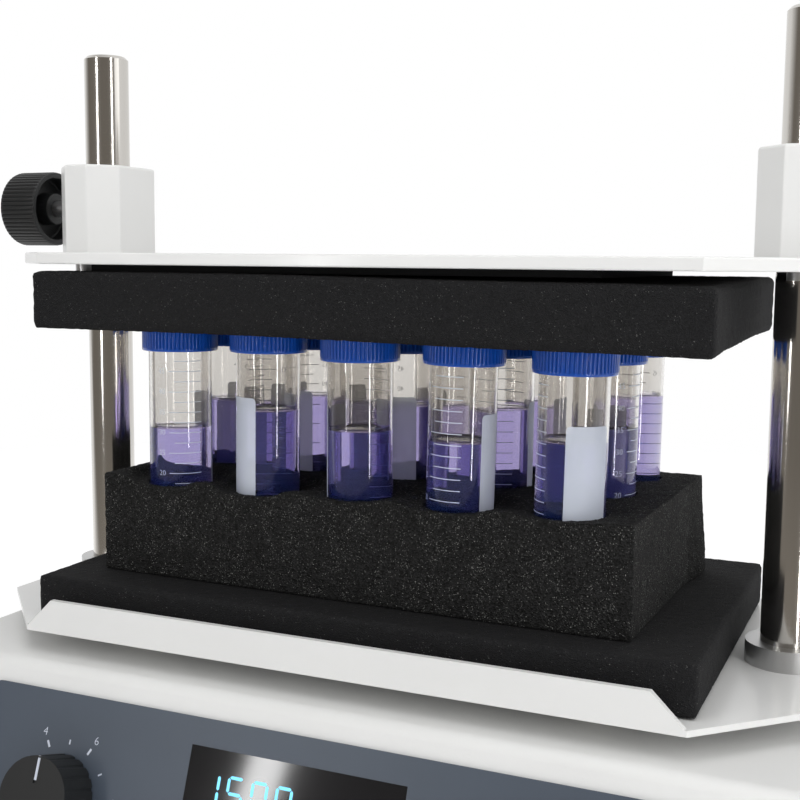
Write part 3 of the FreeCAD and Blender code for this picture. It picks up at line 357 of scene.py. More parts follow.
drawn_streaks, entry, leave = new_group(
    "drawn_streaks", {"Streaks": 900.0, "Length": 0.02}, ["Height", "Tone"])
spot = node(drawn_streaks, "ShaderNodeTexCoord").outputs["Object"]
parts = node(drawn_streaks, "ShaderNodeSeparateXYZ", Vector=spot).outputs
squeezed = maths(drawn_streaks, "MULTIPLY", parts["Z"], entry.outputs["Length"])
along = node(drawn_streaks, "ShaderNodeCombineXYZ", X=parts["X"], Y=parts["Y"], Z=squeezed).outputs[0]
streaks = node(drawn_streaks, "ShaderNodeTexNoise", Vector=along, Scale=entry.outputs["Streaks"], Detail=3.0)
broad = node(drawn_streaks, "ShaderNodeTexNoise", Vector=along, Scale=BROAD_STREAKS, Detail=2.0)
set_inputs(leave, Height=streaks.outputs[0], Tone=broad.outputs[0])
print("group:", drawn_streaks.name)

# %% [markdown]
# ## Finishes
#
# On the real mixer most surfaces are paint, moulded plastic, rubber or plated steel: one colour, but
# never quite even. So most finishes follow one pattern: two near colours mixed by the group's tone, a
# roughness that wanders a little between two values, and a faint bump from the group's height. One
# helper builds that pattern from a line of values; the clear, soft and shiny materials follow below.

# %% Helpers for finishes
finishes = {}


def new_material(name):
    """A new finish under this name; its Principled shader is handed back."""
    finishes[name] = bpy.data.materials.new(name)
    finishes[name].use_nodes = True
    return finishes[name].node_tree.nodes["Principled BSDF"]


def effect_node(shader, group, **values):
    made = shader.id_data.nodes.new("ShaderNodeGroup")
    made.node_tree = group
    set_inputs(made, **values)
    return made


def bump_normal(shader, effect, strength, depth):
    height = effect.outputs["Height"]
    return node(shader.id_data, "ShaderNodeBump", Strength=strength, Distance=depth, Height=height).outputs[0]


print("groups to place:", ", ".join(group.name for group in (fine_grain, foam_cells, drawn_streaks)))

# %% The common pattern
def shade(shader, effect, dark, light, rough, bump, depth):
    """Link a group's tone to colour and roughness, and its height to the bump."""
    tone = effect.outputs["Tone"]
    colour = mix_colours(shader.id_data, tone, (*dark, 1), (*light, 1))
    gloss = fade(shader.id_data, tone, 0.0, 1.0, *rough)
    set_inputs(shader, Base_Color=colour, Roughness=gloss, Normal=bump_normal(shader, effect, bump, depth))
    return colour


def grained(slot, dark, light, rough, grains, patches, bump, depth, **plain):
    """A finish with the fine grain; plain values go to the shader's own inputs."""
    shader = new_material(slot)
    effect = effect_node(shader, fine_grain, Grains=grains, Patches=patches)
    colour = shade(shader, effect, dark, light, rough, bump, depth)
    set_inputs(shader, **plain)
    return shader, colour


print("patterns:", shade.__name__, grained.__name__)

# %% Grained finishes
GRAINED = {
    # slot: dark, light, roughness from and to, grains and patches per metre, bump, bump depth
    "white_paint": ((0.75, 0.75, 0.74), (0.79, 0.79, 0.78), (0.32, 0.42), 1400, 20, 0.10, 0.0002),
    "housing_paint": ((0.71, 0.71, 0.70), (0.76, 0.76, 0.75), (0.42, 0.52), 900, 18, 0.22, 0.0003),
    "backing_board": ((0.008, 0.008, 0.009), (0.012, 0.012, 0.013), (0.75, 0.9), 1500, 30, 0.15, 0.0002),
    "zinc_steel": ((0.50, 0.50, 0.51), (0.62, 0.62, 0.63), (0.28, 0.42), 2500, 150, 0.08, 0.0001),
    "cast_alloy": ((0.48, 0.48, 0.48), (0.60, 0.60, 0.60), (0.34, 0.48), 1800, 60, 0.15, 0.0002),
    "bush_plastic": ((0.68, 0.66, 0.60), (0.76, 0.74, 0.68), (0.40, 0.5), 1600, 40, 0.08, 0.0001),
    "knob_plastic": ((0.007, 0.008, 0.009), (0.012, 0.013, 0.014), (0.42, 0.55), 2600, 60, 0.25, 0.0002),
    "foot_rubber": ((0.012, 0.012, 0.012), (0.022, 0.022, 0.022), (0.75, 0.9), 1500, 60, 0.25, 0.0003),
    "panel_plastic": ((0.055, 0.070, 0.095), (0.070, 0.088, 0.118), (0.38, 0.46), 3200, 30, 0.12, 0.0001),
    "button_plastic": ((0.50, 0.51, 0.52), (0.57, 0.58, 0.59), (0.42, 0.52), 2600, 60, 0.15, 0.0001),
    "black_plastic": ((0.012, 0.012, 0.013), (0.018, 0.018, 0.019), (0.40, 0.52), 2200, 60, 0.15, 0.0002),
    "dark_ink": ((0.020, 0.022, 0.026), (0.030, 0.032, 0.036), (0.5, 0.6), 2500, 120, 0.05, 0.0001),
    "circuit_board": ((0.012, 0.07, 0.035), (0.020, 0.11, 0.055), (0.35, 0.5), 1200, 90, 0.10, 0.0002),
    "supply_case": ((0.52, 0.52, 0.52), (0.60, 0.60, 0.60), (0.36, 0.46), 1500, 60, 0.08, 0.0001),
    "motor_paint": ((0.022, 0.022, 0.024), (0.034, 0.034, 0.036), (0.38, 0.5), 1200, 50, 0.15, 0.0002),
}
PLAIN_INPUTS = {
    "white_paint": {"Coat_Weight": 0.25, "Coat_Roughness": 0.12},
    "zinc_steel": {"Metallic": 1.0},
    "cast_alloy": {"Metallic": 1.0},
    "supply_case": {"Metallic": 1.0},
}
for slot, row in GRAINED.items():
    grained(slot, *row, **PLAIN_INPUTS.get(slot, {}))
print("grained finishes:", len(finishes))

# %% [markdown]
# The columns are bright drawn steel. Fine streaks along the bar break the mirror image just enough
# that the dim room shows as soft brown bands and the lamps as white lines.

# %% Column steel
shader = new_material("column_steel")
effect = effect_node(shader, drawn_streaks, Streaks=1400.0, Length=0.015)
shade(shader, effect, (0.52, 0.50, 0.47), (0.66, 0.64, 0.61), (0.10, 0.17), 0.08, 0.0001)
set_inputs(shader, Metallic=1.0)
print("finish:", finishes["column_steel"].name)

# %% [markdown]
# The foam is dyed almost black. Under the lamps its broken cell walls glint; here the glints are painted
# into the colour as fine bright specks, brighter and closer on the rack than on the pads, so both
# finishes share the cell group with other values.

# %% Foam
FOAMS = {
    # slot: cells and specks per metre, share of specks, colour of their painted glint, bump depth, dark,
    # light
    "black_foam": (1900, 3200, 0.025, (0.13, 0.13, 0.125), 0.0006,
                   (0.007, 0.007, 0.008), (0.017, 0.017, 0.018)),
    "rack_foam": (1350, 3200, 0.10, (0.26, 0.26, 0.245), 0.0010,
                  (0.003, 0.003, 0.003), (0.022, 0.022, 0.022)),
}
FOAM_ROUGH, FOAM_BUMP, FOAM_SHINE = (0.85, 1.0), 0.9, 0.25

for slot, (count, specks, share, glint, depth, dark, light) in FOAMS.items():
    shader = new_material(slot)
    effect = effect_node(shader, foam_cells, Cells=count, Specks=specks, Speck_share=share)
    plain = shade(shader, effect, dark, light, FOAM_ROUGH, FOAM_BUMP, depth)
    # The painted glints' colour is mixed into the foam's own colour.
    colour_with_painted_glints = mix_colours(shader.id_data, effect.outputs["Speck"], plain, (*glint, 1))
    set_inputs(shader, Base_Color=colour_with_painted_glints, Specular_IOR_Level=FOAM_SHINE)
print("foams:", ", ".join(FOAMS))

# %% [markdown]
# Tubes are clear moulded plastic with a faint warm cast. The liquid takes its violet from
# absorption inside its volume, so a deep look through it is darker than a shallow one, as in the
# real thing. Where liquid wets the wall, wall and liquid bend light almost alike, so that part of the
# wall's inside is fully clear and the liquid's side bends nothing; only its top is a mirror-like
# skin. A faint blue haze stands in the liquid, because the dye isn't quite clear.

# %% Tube plastic and liquid
shader = new_material("tube_plastic")
effect = effect_node(shader, drawn_streaks, Streaks=300.0, Length=0.7)
set_inputs(
    shader, Base_Color=(0.81, 0.795, 0.775, 1), Roughness=0.03, IOR=1.40, Transmission_Weight=1.0,
    Coat_Weight=0.6, Normal=bump_normal(shader, effect, 0.055, 0.0003))

shader = new_material("wet_wall")
tree = shader.id_data
tree.nodes.remove(shader)
clear = node(tree, "ShaderNodeBsdfTransparent", Color=WHITE)
set_inputs(tree.nodes["Material Output"], Surface=clear.outputs[0])

shader = new_material("liquid")
set_inputs(shader, Base_Color=WHITE, Roughness=0.0, IOR=1.0, Transmission_Weight=1.0)
tree = shader.id_data
tint = node(tree, "ShaderNodeVolumeAbsorption", Color=(0.27, 0.12, 0.765, 1), Density=36.0)
set_inputs(tree.nodes["Material Output"], Volume=tint.outputs[0])

shader = new_material("liquid_skin")
set_inputs(shader, Base_Color=(0.93, 0.92, 0.95, 1), Roughness=0.0, IOR=1.33, Transmission_Weight=1.0)

grained(
    "liquid_haze", (0.11, 0.25, 0.84), (0.13, 0.29, 0.96), (0.9, 1.0), 60, 25, 0.0, 0.0001,
    Alpha=0.11, Specular_IOR_Level=0.0)
print("finishes:", len(finishes))

# %% [markdown]
# Caps are glossy blue plastic. Ink is matt white, and the writing fields let a little light through.
# The display is a dark, smooth lens with figures that shine by themselves.

# %% Caps, ink and display
grained(
    "cap_plastic", (0.003, 0.060, 0.37), (0.004, 0.082, 0.46), (0.20, 0.28), 1800, 80, 0.08, 0.0001,
    Specular_IOR_Level=0.25, Coat_Weight=0.5, Coat_Roughness=0.06)
for slot, cover in (("white_ink", 1.0), ("field_ink", 0.82)):
    grained(
        slot, (0.56, 0.60, 0.69), (0.62, 0.66, 0.75), (0.5, 0.65), 2500, 120, 0.05, 0.0001,
        Alpha=cover)
grained(
    "display_lens", (0.006, 0.006, 0.007), (0.010, 0.010, 0.012), (0.06, 0.10), 900, 12, 0.01, 0.0001)
shader, lit = grained(
    "display_light", (0.12, 0.50, 0.72), (0.18, 0.62, 0.85), (0.3, 0.4), 900, 300, 0.02, 0.0001,
    Emission_Strength=0.8)
set_inputs(shader, Emission_Color=lit)
print("finishes:", len(finishes))

# %% [markdown]
# The record of the solids names a material slot for each of them. A loop hands out the finishes by
# that name, so none is painted by hand and none is forgotten.

# %% Paint the solids that stay
for row in frame["record"]["subparts"]:
    mesh = nodes[row["node"]].data
    mesh.materials.clear()
    mesh.materials.append(finishes[row["material_slot"]])

# %% [markdown]
# ## Turned forms
#
# Tubes, liquid, caps and knobs are all turned about an axis, so one lathe makes them. A Screw
# modifier turns a profile too, but it can't rib it. Here a ring may carry ribs: narrow grooves evenly
# round the circle, with broad crests between them that keep the full radius. That is how caps and
# knobs get their grip. The result is one closed skin.

# %% The lathe
GROOVE_SHARPNESS = 4


def lathe(profile, steps, ribs=0):
    """Turn a profile of (radius, height, rib depth) rows about Z; rows at radius 0 close the ends."""
    angles = np.arange(steps) * 2 * math.pi / steps
    wave = (0.5 + 0.5 * np.cos(ribs * angles)) ** GROOVE_SHARPNESS
    points = []
    rings = []
    for radius, height, dip in profile:
        first = len(points)
        if radius == 0:
            points.append((0.0, 0.0, height))
            rings.append([first] * steps)
        else:
            reach = radius - dip * wave
            points.extend(zip(reach * np.cos(angles), reach * np.sin(angles), [height] * steps))
            rings.append(list(range(first, first + steps)))
    faces = []
    for low, high in zip(rings, rings[1:]):
        for k in range(steps):
            corners = (low[k], low[(k + 1) % steps], high[(k + 1) % steps], high[k])
            faces.append(tuple(dict.fromkeys(corners)))
    return np.array(points, float), faces


def in_metres(rows):
    """Lathe rows from rows in millimetres; a row without a rib depth is plain."""
    return [(radius * MM, height * MM, sum(dip) * MM) for radius, height, *dip in rows]


print("lathe test:", len(lathe(in_metres([(0, 0), (1, 0), (0, 1)]), 8)[0]), "points")

# %% [markdown]
# Every new form is a list of points and faces. Forms are moved and joined as arrays, and only the
# finished set becomes a Blender object, which rides on a body of the mixer.

# %% Move and join forms
def moved(matrix, points):
    turn = np.array(matrix.to_3x3())
    return np.asarray(points, float) @ turn.T + np.array(matrix.translation)


def gather(forms):
    """Join several (points, faces) into one."""
    points = []
    faces = []
    for some_points, some_faces in forms:
        shift = sum(len(each) for each in points)
        points.append(np.asarray(some_points, float))
        faces.extend(tuple(index + shift for index in face) for face in some_faces)
    return np.concatenate(points), faces


print("two joined faces:", gather([(np.eye(3), [(0, 1, 2)])] * 2)[1])

# %% Add a finished piece
def new_object(name, points, faces):
    mesh = bpy.data.meshes.new(name)
    mesh.from_pydata([tuple(point) for point in points], [], faces)
    made = bpy.data.objects.new(name, mesh)
    scene.collection.objects.link(made)
    return made


def add_piece(name, points, faces, body, slot, finish=None, sharp=50):
    """A mesh object of these points and faces, finished and riding on its body."""
    piece = new_object(name, points, faces)
    piece.data.materials.append(finishes[finish or slot])
    piece.data.shade_smooth()
    piece.data.set_sharp_from_angle(angle=math.radians(sharp))
    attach(piece, body)
    return piece


# %% [markdown]
# ## Where the tubes stand
#
# Fifteen tubes stand in a rack of five by three, and the rack is set down a little askew. Each tube
# has its own liquid level, its own turn in its well, a slight lean, a nudge along the row and a lift,
# read off the picture. An array would set them down all alike, and that looks wrong at once. All five
# lists go from the left tube to the right one, front row first; turns and leans are in degrees, the
# others in millimetres.

# %% Tube places
PAD_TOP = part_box("lower_pad")[1].z
RACK_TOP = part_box("tube_rack")[1].z
TUBES_IN_ROW, ROWS = 5, 3
PITCH_X, PITCH_Y = 47.2 * MM, 44.7 * MM
RACK_TURN = math.radians(-1.35)
RACK_MIDDLE = Vector((-2.5 * MM, -2.0 * MM, 0))
LEVELS = [67.5, 78.3, 72.3, 70.9, 74.0, 76.3, 80.5, 78.5, 79.9, 74.7, 74.0, 76.0, 77.0, 79.0, 84.0]
TURNS = [57, -122, -178, 4, -46, 97, -110, -86, 23, 100, -40, 136, 162, -12, -159]
LEANS = [0.1, 0.3, -0.2, 1.1, 0.9, 0.2, 0.0, -0.2, 0.3, 0.5, 0.0, 0.2, -0.1, 0.1, 0.4]
NUDGES = [-0.3, -0.2, -0.9, -1.2, -0.7, 0, 0, 0, 0, 0, 0, 0, 0, 0, 0]
LIFTS = [0, 1.0, -0.9, -0.3, -1.9, 0, 0, 0, 0, -0.8, 0, 0, 0, 0, -0.5]

rack_frame = Matrix.Translation(RACK_MIDDLE) @ Matrix.Rotation(RACK_TURN, 4, "Z")
pivot = Matrix.Translation((0, 0, RACK_TOP - PAD_TOP))
wells = []
tube_frames = []
for number, (turn, lean, nudge, lift) in enumerate(zip(TURNS, LEANS, NUDGES, LIFTS)):
    row, column = divmod(number, TUBES_IN_ROW)
    aside = level_right * nudge * MM
    well_x = (column - (TUBES_IN_ROW - 1) / 2) * PITCH_X + aside.x
    well_y = (row - (ROWS - 1) / 2) * PITCH_Y + aside.y
    well = Vector((well_x, well_y, 0))
    wells.append((well.x, well.y))
    foot = rack_frame @ well
    foot.z = PAD_TOP + lift * MM
    tip = pivot @ Matrix.Rotation(math.radians(lean), 4, "Y") @ pivot.inverted()
    spin = Matrix.Rotation(math.radians(turn), 4, "Z")
    tube_frames.append(Matrix.Translation(foot) @ tip @ spin)
print("tubes:", len(tube_frames))

# %% [markdown]
# ## Tubes and liquid
#
# A tube is one closed skin: up the outside from its conical tip, over the rim and down the inside.
# The liquid is a second skin that reaches a hair into the wall, so that no film of air shines
# between them. A thin clear skin on top climbs the wall in a small meniscus, and a slightly smaller
# form inside carries the haze.

# %% Profiles of a tube and its liquid
TUBE_OUTER, BORE = 14.3, 13.1
TUBE_STEPS = 72
SOAKED = BORE + 0.15
HAZE = BORE - 0.4
HAZE_DEPTH = 0.5

OUTSIDE = [(0, 0), (3.4, 0), (4.0, 0.3), (14.0, 14.5), (TUBE_OUTER, 15.6), (TUBE_OUTER, 113.6), (14.0, 114)]
RIM = [(13.4, 114), (BORE, 113.7)]
INSIDE = [(BORE, 15.8), (12.8, 14.8), (3.0, 2.3), (0, 2.0)]
MENISCUS = [(0.2, -0.2), (0.05, 0), (0.05, 1.0), (0.35, 0.65), (0.9, 0.3), (1.9, 0.1)]


def turned(place, rows):
    points, faces = lathe(in_metres(rows), TUBE_STEPS)
    return moved(place, points), faces


print("rows of a tube's profile:", len(OUTSIDE + RIM + INSIDE) + 1)

# %% Turn the tubes and their liquid
walls = []
fillings = []
skins = []
hazes = []
wet_faces = []
for place, level, lift in zip(tube_frames, LEVELS, LIFTS):
    brim = level - lift
    dry = OUTSIDE + RIM + [(BORE, brim)]
    walls.append(turned(place, dry + INSIDE))
    wet_faces.extend([0] * (len(dry) - 1) * TUBE_STEPS + [1] * len(INSIDE) * TUBE_STEPS)
    filling = [(0, 2.1), (2.9, 2.4), (12.7, 14.9), (SOAKED, 16), (SOAKED, brim), (0, brim)]
    fillings.append(turned(place, filling))
    edge = [(BORE - inset, brim + climb) for inset, climb in MENISCUS]
    skins.append(turned(place, [(0, brim - 0.2)] + edge + [(0, brim + 0.05)]))
    haze_top = brim - HAZE_DEPTH
    haze = [(0, 2.9), (2.6, 3.1), (12.2, 15.2), (HAZE, 16.4), (HAZE, haze_top), (0, haze_top)]
    hazes.append(turned(place, haze))
print("turned tubes:", len(walls), "liquid columns:", len(fillings))

# %% Add the tubes and their liquid
tube_walls = add_piece("tube_walls", *gather(walls), "platform", "tube_plastic", sharp=35)
tube_walls.data.materials.append(finishes["wet_wall"])
tube_walls.data.polygons.foreach_set("material_index", wet_faces)
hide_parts("sample_tubes")
liquids = add_piece("tube_liquids", *gather(fillings), "platform", "liquid", sharp=60)
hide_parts("tube_liquid")
add_piece("liquid_tops", *gather(skins), "platform", "liquid", "liquid_skin", sharp=60)
add_piece("liquid_haze", *gather(hazes), "platform", "liquid", "liquid_haze", sharp=60)
print("tube faces:", len(tube_walls.data.polygons), "liquid faces:", len(liquids.data.polygons))

# %% [markdown]
# ## Caps
#
# A cap is a shallow cup with sixty fine ribs on its side, a plain ring at its foot and a softly
# rounded crown. Cutting the ribs one by one would leave ragged faces; the lathe makes them in one go.
# The profile runs from the middle of the inside round to the middle of the crown.

# %% Make the caps
def at_every_tube(points, faces):
    return gather([(moved(place, points), faces) for place in tube_frames])


CAP_RIBS = 60
STEPS_PER_RIB = 6
CAP = [
    (0, 114.3), (14.45, 114.3), (14.6, 113.9), (14.6, 103.2), (14.6, 102.7), (17.0, 102.7), (17.25, 103.0),
    (17.25, 103.9), (17.25, 104.3, 0.6), (17.25, 114.4, 0.6), (17.15, 115.2, 0.35), (16.6, 116.0),
    (15.8, 116.2), (0, 116.2),
]
cap = lathe(in_metres(CAP), CAP_RIBS * STEPS_PER_RIB, CAP_RIBS)
caps = add_piece("ribbed_caps", *at_every_tube(*cap), "platform", "cap_plastic")
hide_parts("tube_caps")
print("cap faces:", len(caps.data.polygons))

# %% [markdown]
# ## Print on the tubes
#
# Every tube carries a white field to write on and, beside it, a scale: a line for each 2.5 units and
# a number at every second one. They could be an image on the wall, but thin skins, bent round it and
# just proud of it, keep their sharp edges. Digits come from Blender's own font: a text is turned into
# a flat mesh, and its x runs round the tube.

# %% Bend a patch round a tube
PRINT_LIFT = 0.03 * MM
PRINT_RADIUS = TUBE_OUTER * MM + PRINT_LIFT


def round_tube(angles, heights):
    return np.stack([PRINT_RADIUS * np.cos(angles), PRINT_RADIUS * np.sin(angles), heights], axis=1)


def curved_patch(angle_from, angle_to, low, high, steps, corner=0.0):
    """A patch on the tube's wall between two angles in degrees and two heights in millimetres."""
    angles = np.radians(np.linspace(angle_from, angle_to, steps + 1))
    edge = np.minimum(angles - angles[0], angles[-1] - angles) * PRINT_RADIUS / MM
    drop = corner - np.sqrt(corner ** 2 - np.maximum(corner - edge, 0) ** 2)
    points = [round_tube(angles, heights * MM) for heights in (low + drop, high - drop)]
    faces = [(k, k + 1, k + steps + 2, k + steps + 1) for k in range(steps)]
    return np.concatenate(points), faces


print("patch faces:", len(curved_patch(0, 90, 0, 10, 12)[1]))

# %% Bend a text round a tube
STROKE_THINNING = -0.012
CURVE_STEPS = 3


def take_mesh(thing):
    """The points, faces and normals of an object with its modifiers; the object is removed."""
    bpy.context.view_layer.update()
    mesh = bpy.data.meshes.new_from_object(thing.evaluated_get(bpy.context.evaluated_depsgraph_get()))
    points = np.array([vertex.co for vertex in mesh.vertices])
    normals = np.array([vertex.normal for vertex in mesh.vertices])
    faces = [tuple(polygon.vertices) for polygon in mesh.polygons]
    bpy.data.meshes.remove(mesh)
    bpy.data.objects.remove(thing)
    return points, faces, normals


def flat_text(words, size):
    """A text as a flat mesh: points in its plane, and faces; it is centred on its own middle."""
    letters = bpy.data.curves.new("letters", "FONT")
    letters.body = words
    letters.size = size
    letters.resolution_u = CURVE_STEPS
    letters.offset = STROKE_THINNING * size
    letters.align_x = "CENTER"
    letters.align_y = "CENTER"
    carrier = bpy.data.objects.new("letters", letters)
    scene.collection.objects.link(carrier)
    points, faces, _ = take_mesh(carrier)
    bpy.data.curves.remove(letters)
    return points, faces


def bent_text(words, size, angle, height):
    points, faces = flat_text(words, size)
    return round_tube(math.radians(angle) + points[:, 0] / PRINT_RADIUS, height * MM + points[:, 1]), faces


print("number 25:", len(bent_text("25", 4 * MM, 0, 50)[0]), "points")

# %% Print the scales and writing fields
FIRST_LINE, LAST_LINE, LINE_STEP, NUMBER_STEP = 7.5, 47.5, 2.5, 5
HEIGHT_OF_20, UNIT_HEIGHT = 47.1, 1.865
TICK_MIDDLE, TICK_HALF, SHORT_TICK_HALF = -104.0, 30.5, 25.5
TICK_HEIGHT, TICK_STEPS = 0.32, 12
NUMBER_ANGLE = -149.0
NUMBER_SIZE = 3.5 * MM
FIELD_LOW, FIELD_HIGH, FIELD_HALF = 38.5, 83.0, 39.0
FIELD_CORNER, FIELD_STEPS = 1.8, 48

scale = []
for volume in np.arange(FIRST_LINE, LAST_LINE + LINE_STEP / 2, LINE_STEP):
    height = HEIGHT_OF_20 + (volume - 20) * UNIT_HEIGHT
    numbered = volume % NUMBER_STEP == 0
    end = TICK_MIDDLE + TICK_HALF
    start = end - 2 * (TICK_HALF if numbered else SHORT_TICK_HALF)
    scale.append(curved_patch(start, end, height - TICK_HEIGHT / 2, height + TICK_HEIGHT / 2, TICK_STEPS))
    if numbered:
        scale.append(bent_text(f"{volume:.0f}", NUMBER_SIZE, NUMBER_ANGLE, height))
marks = at_every_tube(*gather(scale))
add_piece("tube_marks", *marks, "platform", "tube_plastic", "white_ink")
field = curved_patch(-FIELD_HALF, FIELD_HALF, FIELD_LOW, FIELD_HIGH, FIELD_STEPS, FIELD_CORNER)
add_piece("writing_fields", *at_every_tube(*field), "platform", "tube_plastic", "field_ink")
print("mark faces:", len(marks[1]))

# %% [markdown]
# ## Foam
#
# Cut foam has crisp faces but no crisp edges: cells tear at the knife and edges crumble by a
# fraction of a millimetre. Each block starts as a box, loses its wells by a boolean, and is then
# remeshed into small even faces, which rounds the edges slightly. Small noise eats into the skin.
# Cloth simulation isn't needed: foam doesn't drape, it only dents.

# %% Boxes and round cutters
def box_points(low, high):
    corners = [(x, y, z) for z in (low[2], high[2]) for y in (low[1], high[1]) for x in (low[0], high[0])]
    faces = [(0, 2, 3, 1), (4, 5, 7, 6), (0, 1, 5, 4), (2, 6, 7, 3), (0, 4, 6, 2), (1, 3, 7, 5)]
    return np.array(corners, float), faces


def prism(radius, low, high, x, y, steps=48):
    points, faces = lathe([(0, low, 0), (radius, low, 0), (radius, high, 0), (0, high, 0)], steps)
    return points + np.array((x, y, 0)), faces


print("cutter faces:", len(prism(1, 0, 1, 0, 0)[1]))

# %% The skin of cut foam
OVERCUT = 5 * MM


def foam_skin(block, hollows, voxel):
    """The even skin of a block with hollows cut out: points, faces and normals."""
    solid = new_object("scratch", *block)
    if hollows:
        cutter = new_object("scratch", *gather(hollows))
        carve = solid.modifiers.new("carve", "BOOLEAN")
        carve.operation = "DIFFERENCE"
        carve.solver = "EXACT"
        carve.object = cutter
    remesh = solid.modifiers.new("even", "REMESH")
    remesh.mode = "VOXEL"
    remesh.voxel_size = voxel
    skin = take_mesh(solid)
    if hollows:
        bpy.data.objects.remove(cutter)
    return skin


def crumble(points, normals, amount, grain):
    """Move points inwards by a repeatable noise of this depth and wavelength, both in metres."""
    depth = np.array([abs(noise.noise(Vector(point) / grain)) for point in points])
    return points - normals * (depth * amount)[:, None]


print("foam voxel test:", len(foam_skin(box_points((0, 0, 0), (0.02, 0.02, 0.02)), [], 0.004)[0]), "points")

# %% The lower pad
PAD_VOXEL = 2.0 * MM
PAD_CRUMBLE = (0.5 * MM, 3 * MM)

points, faces, normals = foam_skin(box_points(*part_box("lower_pad")), [], PAD_VOXEL)
points = crumble(points, normals, *PAD_CRUMBLE)
lower_foam = add_piece("lower_foam", points, faces, "platform", "black_foam", sharp=180)
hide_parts("lower_pad")
print("lower foam faces:", len(faces))

# %% [markdown]
# The upper pad is dented by the caps. It sags a little towards the front right, and its front right
# corner is drawn outwards. A smooth ramp along an axis tells how much of a change a point gets.

# %% The upper pad, dented by the caps
DENT_RADIUS = 17.5 * MM
CAP_HEIGHT, DENT_TOP = 115 * MM, 116.4 * MM
SAG, SAG_X, SAG_Y = 1.6 * MM, (-60, 90), (40, -50)
CORNER_OUT, CORNER_DOWN, CORNER_X, CORNER_Y = 1.6 * MM, 0.6 * MM, (110, 150), (-40, -85)


def ramp(value, start, end):
    """A smooth change from 0 at start to 1 at end; the end may be the smaller one."""
    share = np.clip((value - start) / (end - start), 0, 1)
    return share * share * (3 - 2 * share)


low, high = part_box("upper_pad")
dents = []
for place in tube_frames:
    middle = place @ Vector((0, 0, CAP_HEIGHT))
    dents.append(prism(DENT_RADIUS, low.z - OVERCUT, PAD_TOP + DENT_TOP, middle.x, middle.y))
points, faces, normals = foam_skin(box_points(low, high), dents, PAD_VOXEL)
points = crumble(points, normals, *PAD_CRUMBLE)
x, y = points[:, 0] / MM, points[:, 1] / MM
sag = ramp(x, *SAG_X) * ramp(y, *SAG_Y)
corner = ramp(x, *CORNER_X) * ramp(y, *CORNER_Y)
points[:, 0] += CORNER_OUT * corner
points[:, 2] -= SAG * sag + CORNER_DOWN * corner
upper_foam = add_piece("upper_foam", points, faces, "clamp", "black_foam", sharp=180)
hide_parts("upper_pad")
print("upper foam faces:", len(faces))

# %% [markdown]
# The rack's foam is pressed down round each front tube and its thin front wall is pushed outwards, so
# the top edge dips there and stands higher between the tubes. Its right end spreads at the foot
# towards the rear. Inside each well the foam hugs the tube.

# %% Cut the rack
RACK_HALF_X, RACK_HALF_Y = 125 * MM, 63.5 * MM
RACK_VOXEL = 1.5 * MM
WELL = 14.45 * MM

hollows = [prism(WELL, PAD_TOP - OVERCUT, RACK_TOP + OVERCUT, x, y) for x, y in wells]
block = box_points((-RACK_HALF_X, -RACK_HALF_Y, PAD_TOP), (RACK_HALF_X, RACK_HALF_Y, RACK_TOP))
points, faces, normals = foam_skin(block, hollows, RACK_VOXEL)
print("rack foam faces:", len(faces))

# %% Press the rack into shape
DIPS = [3.8, 4.0, 2.0, 2.5, 1.1]
DIP_RING, DIP_REAR, DIP_RISE = (WELL + 14 * MM, WELL + 5 * MM), (22 * MM, 6 * MM), (0.7, 1.0)
BULGE, BULGE_HALF, BULGE_RISE = 1.0 * MM, 12 * MM, (0.4, 0.9)
FRONT_WALL = (12 * MM - RACK_HALF_Y, 6 * MM - RACK_HALF_Y)
SPREAD, SPREAD_REAR, SPREAD_END = 3.0 * MM, (20 * MM, 60 * MM), (RACK_HALF_X - 12 * MM, RACK_HALF_X)

rise = (points[:, 2] - PAD_TOP) / (RACK_TOP - PAD_TOP)
front_wall = ramp(points[:, 1], *FRONT_WALL) * ramp(rise, *BULGE_RISE)
drop = np.zeros(len(points))
for (x, y), dip in zip(wells, DIPS):
    aside, behind = points[:, 0] - x, points[:, 1] - y
    ring = ramp(np.hypot(aside, behind), *DIP_RING)
    drop = np.maximum(drop, dip * MM * ring * ramp(behind, *DIP_REAR))
    points[:, 1] -= BULGE * np.exp(-(aside / BULGE_HALF) ** 2) * front_wall
points[:, 2] -= drop * ramp(rise, *DIP_RISE)
rear_end = ramp(points[:, 1], *SPREAD_REAR) * ramp(points[:, 0], *SPREAD_END)
points[:, 0] += SPREAD * rear_end * ramp(rise, 1, 0)
print("deepest dip in millimetres:", round(drop.max() / MM, 2))

# %% Crumble the rack, close its wells on the tubes and add it
RACK_CRUMBLE = (0.7 * MM, 2.5 * MM)
HUGGED = WELL + 0.05 * MM

points = crumble(points, normals, *RACK_CRUMBLE)
for well in wells:
    away = points[:, :2] - np.array(well)
    distance = np.linalg.norm(away, axis=1)
    inside = distance < HUGGED
    points[inside, :2] += away[inside] * (HUGGED / distance[inside] - 1)[:, None]
rack_foam = add_piece("rack_foam", moved(rack_frame, points), faces, "platform", "rack_foam", sharp=180)
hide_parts("tube_rack")
print("rack foam points:", len(points))

# %% [markdown]
# ## Clamp knobs
#
# The black clamp knobs are moulded with fine ribs and a hollow back. The solids have the form; the
# turned piece here adds the ribs at their true number and rounds the rim.

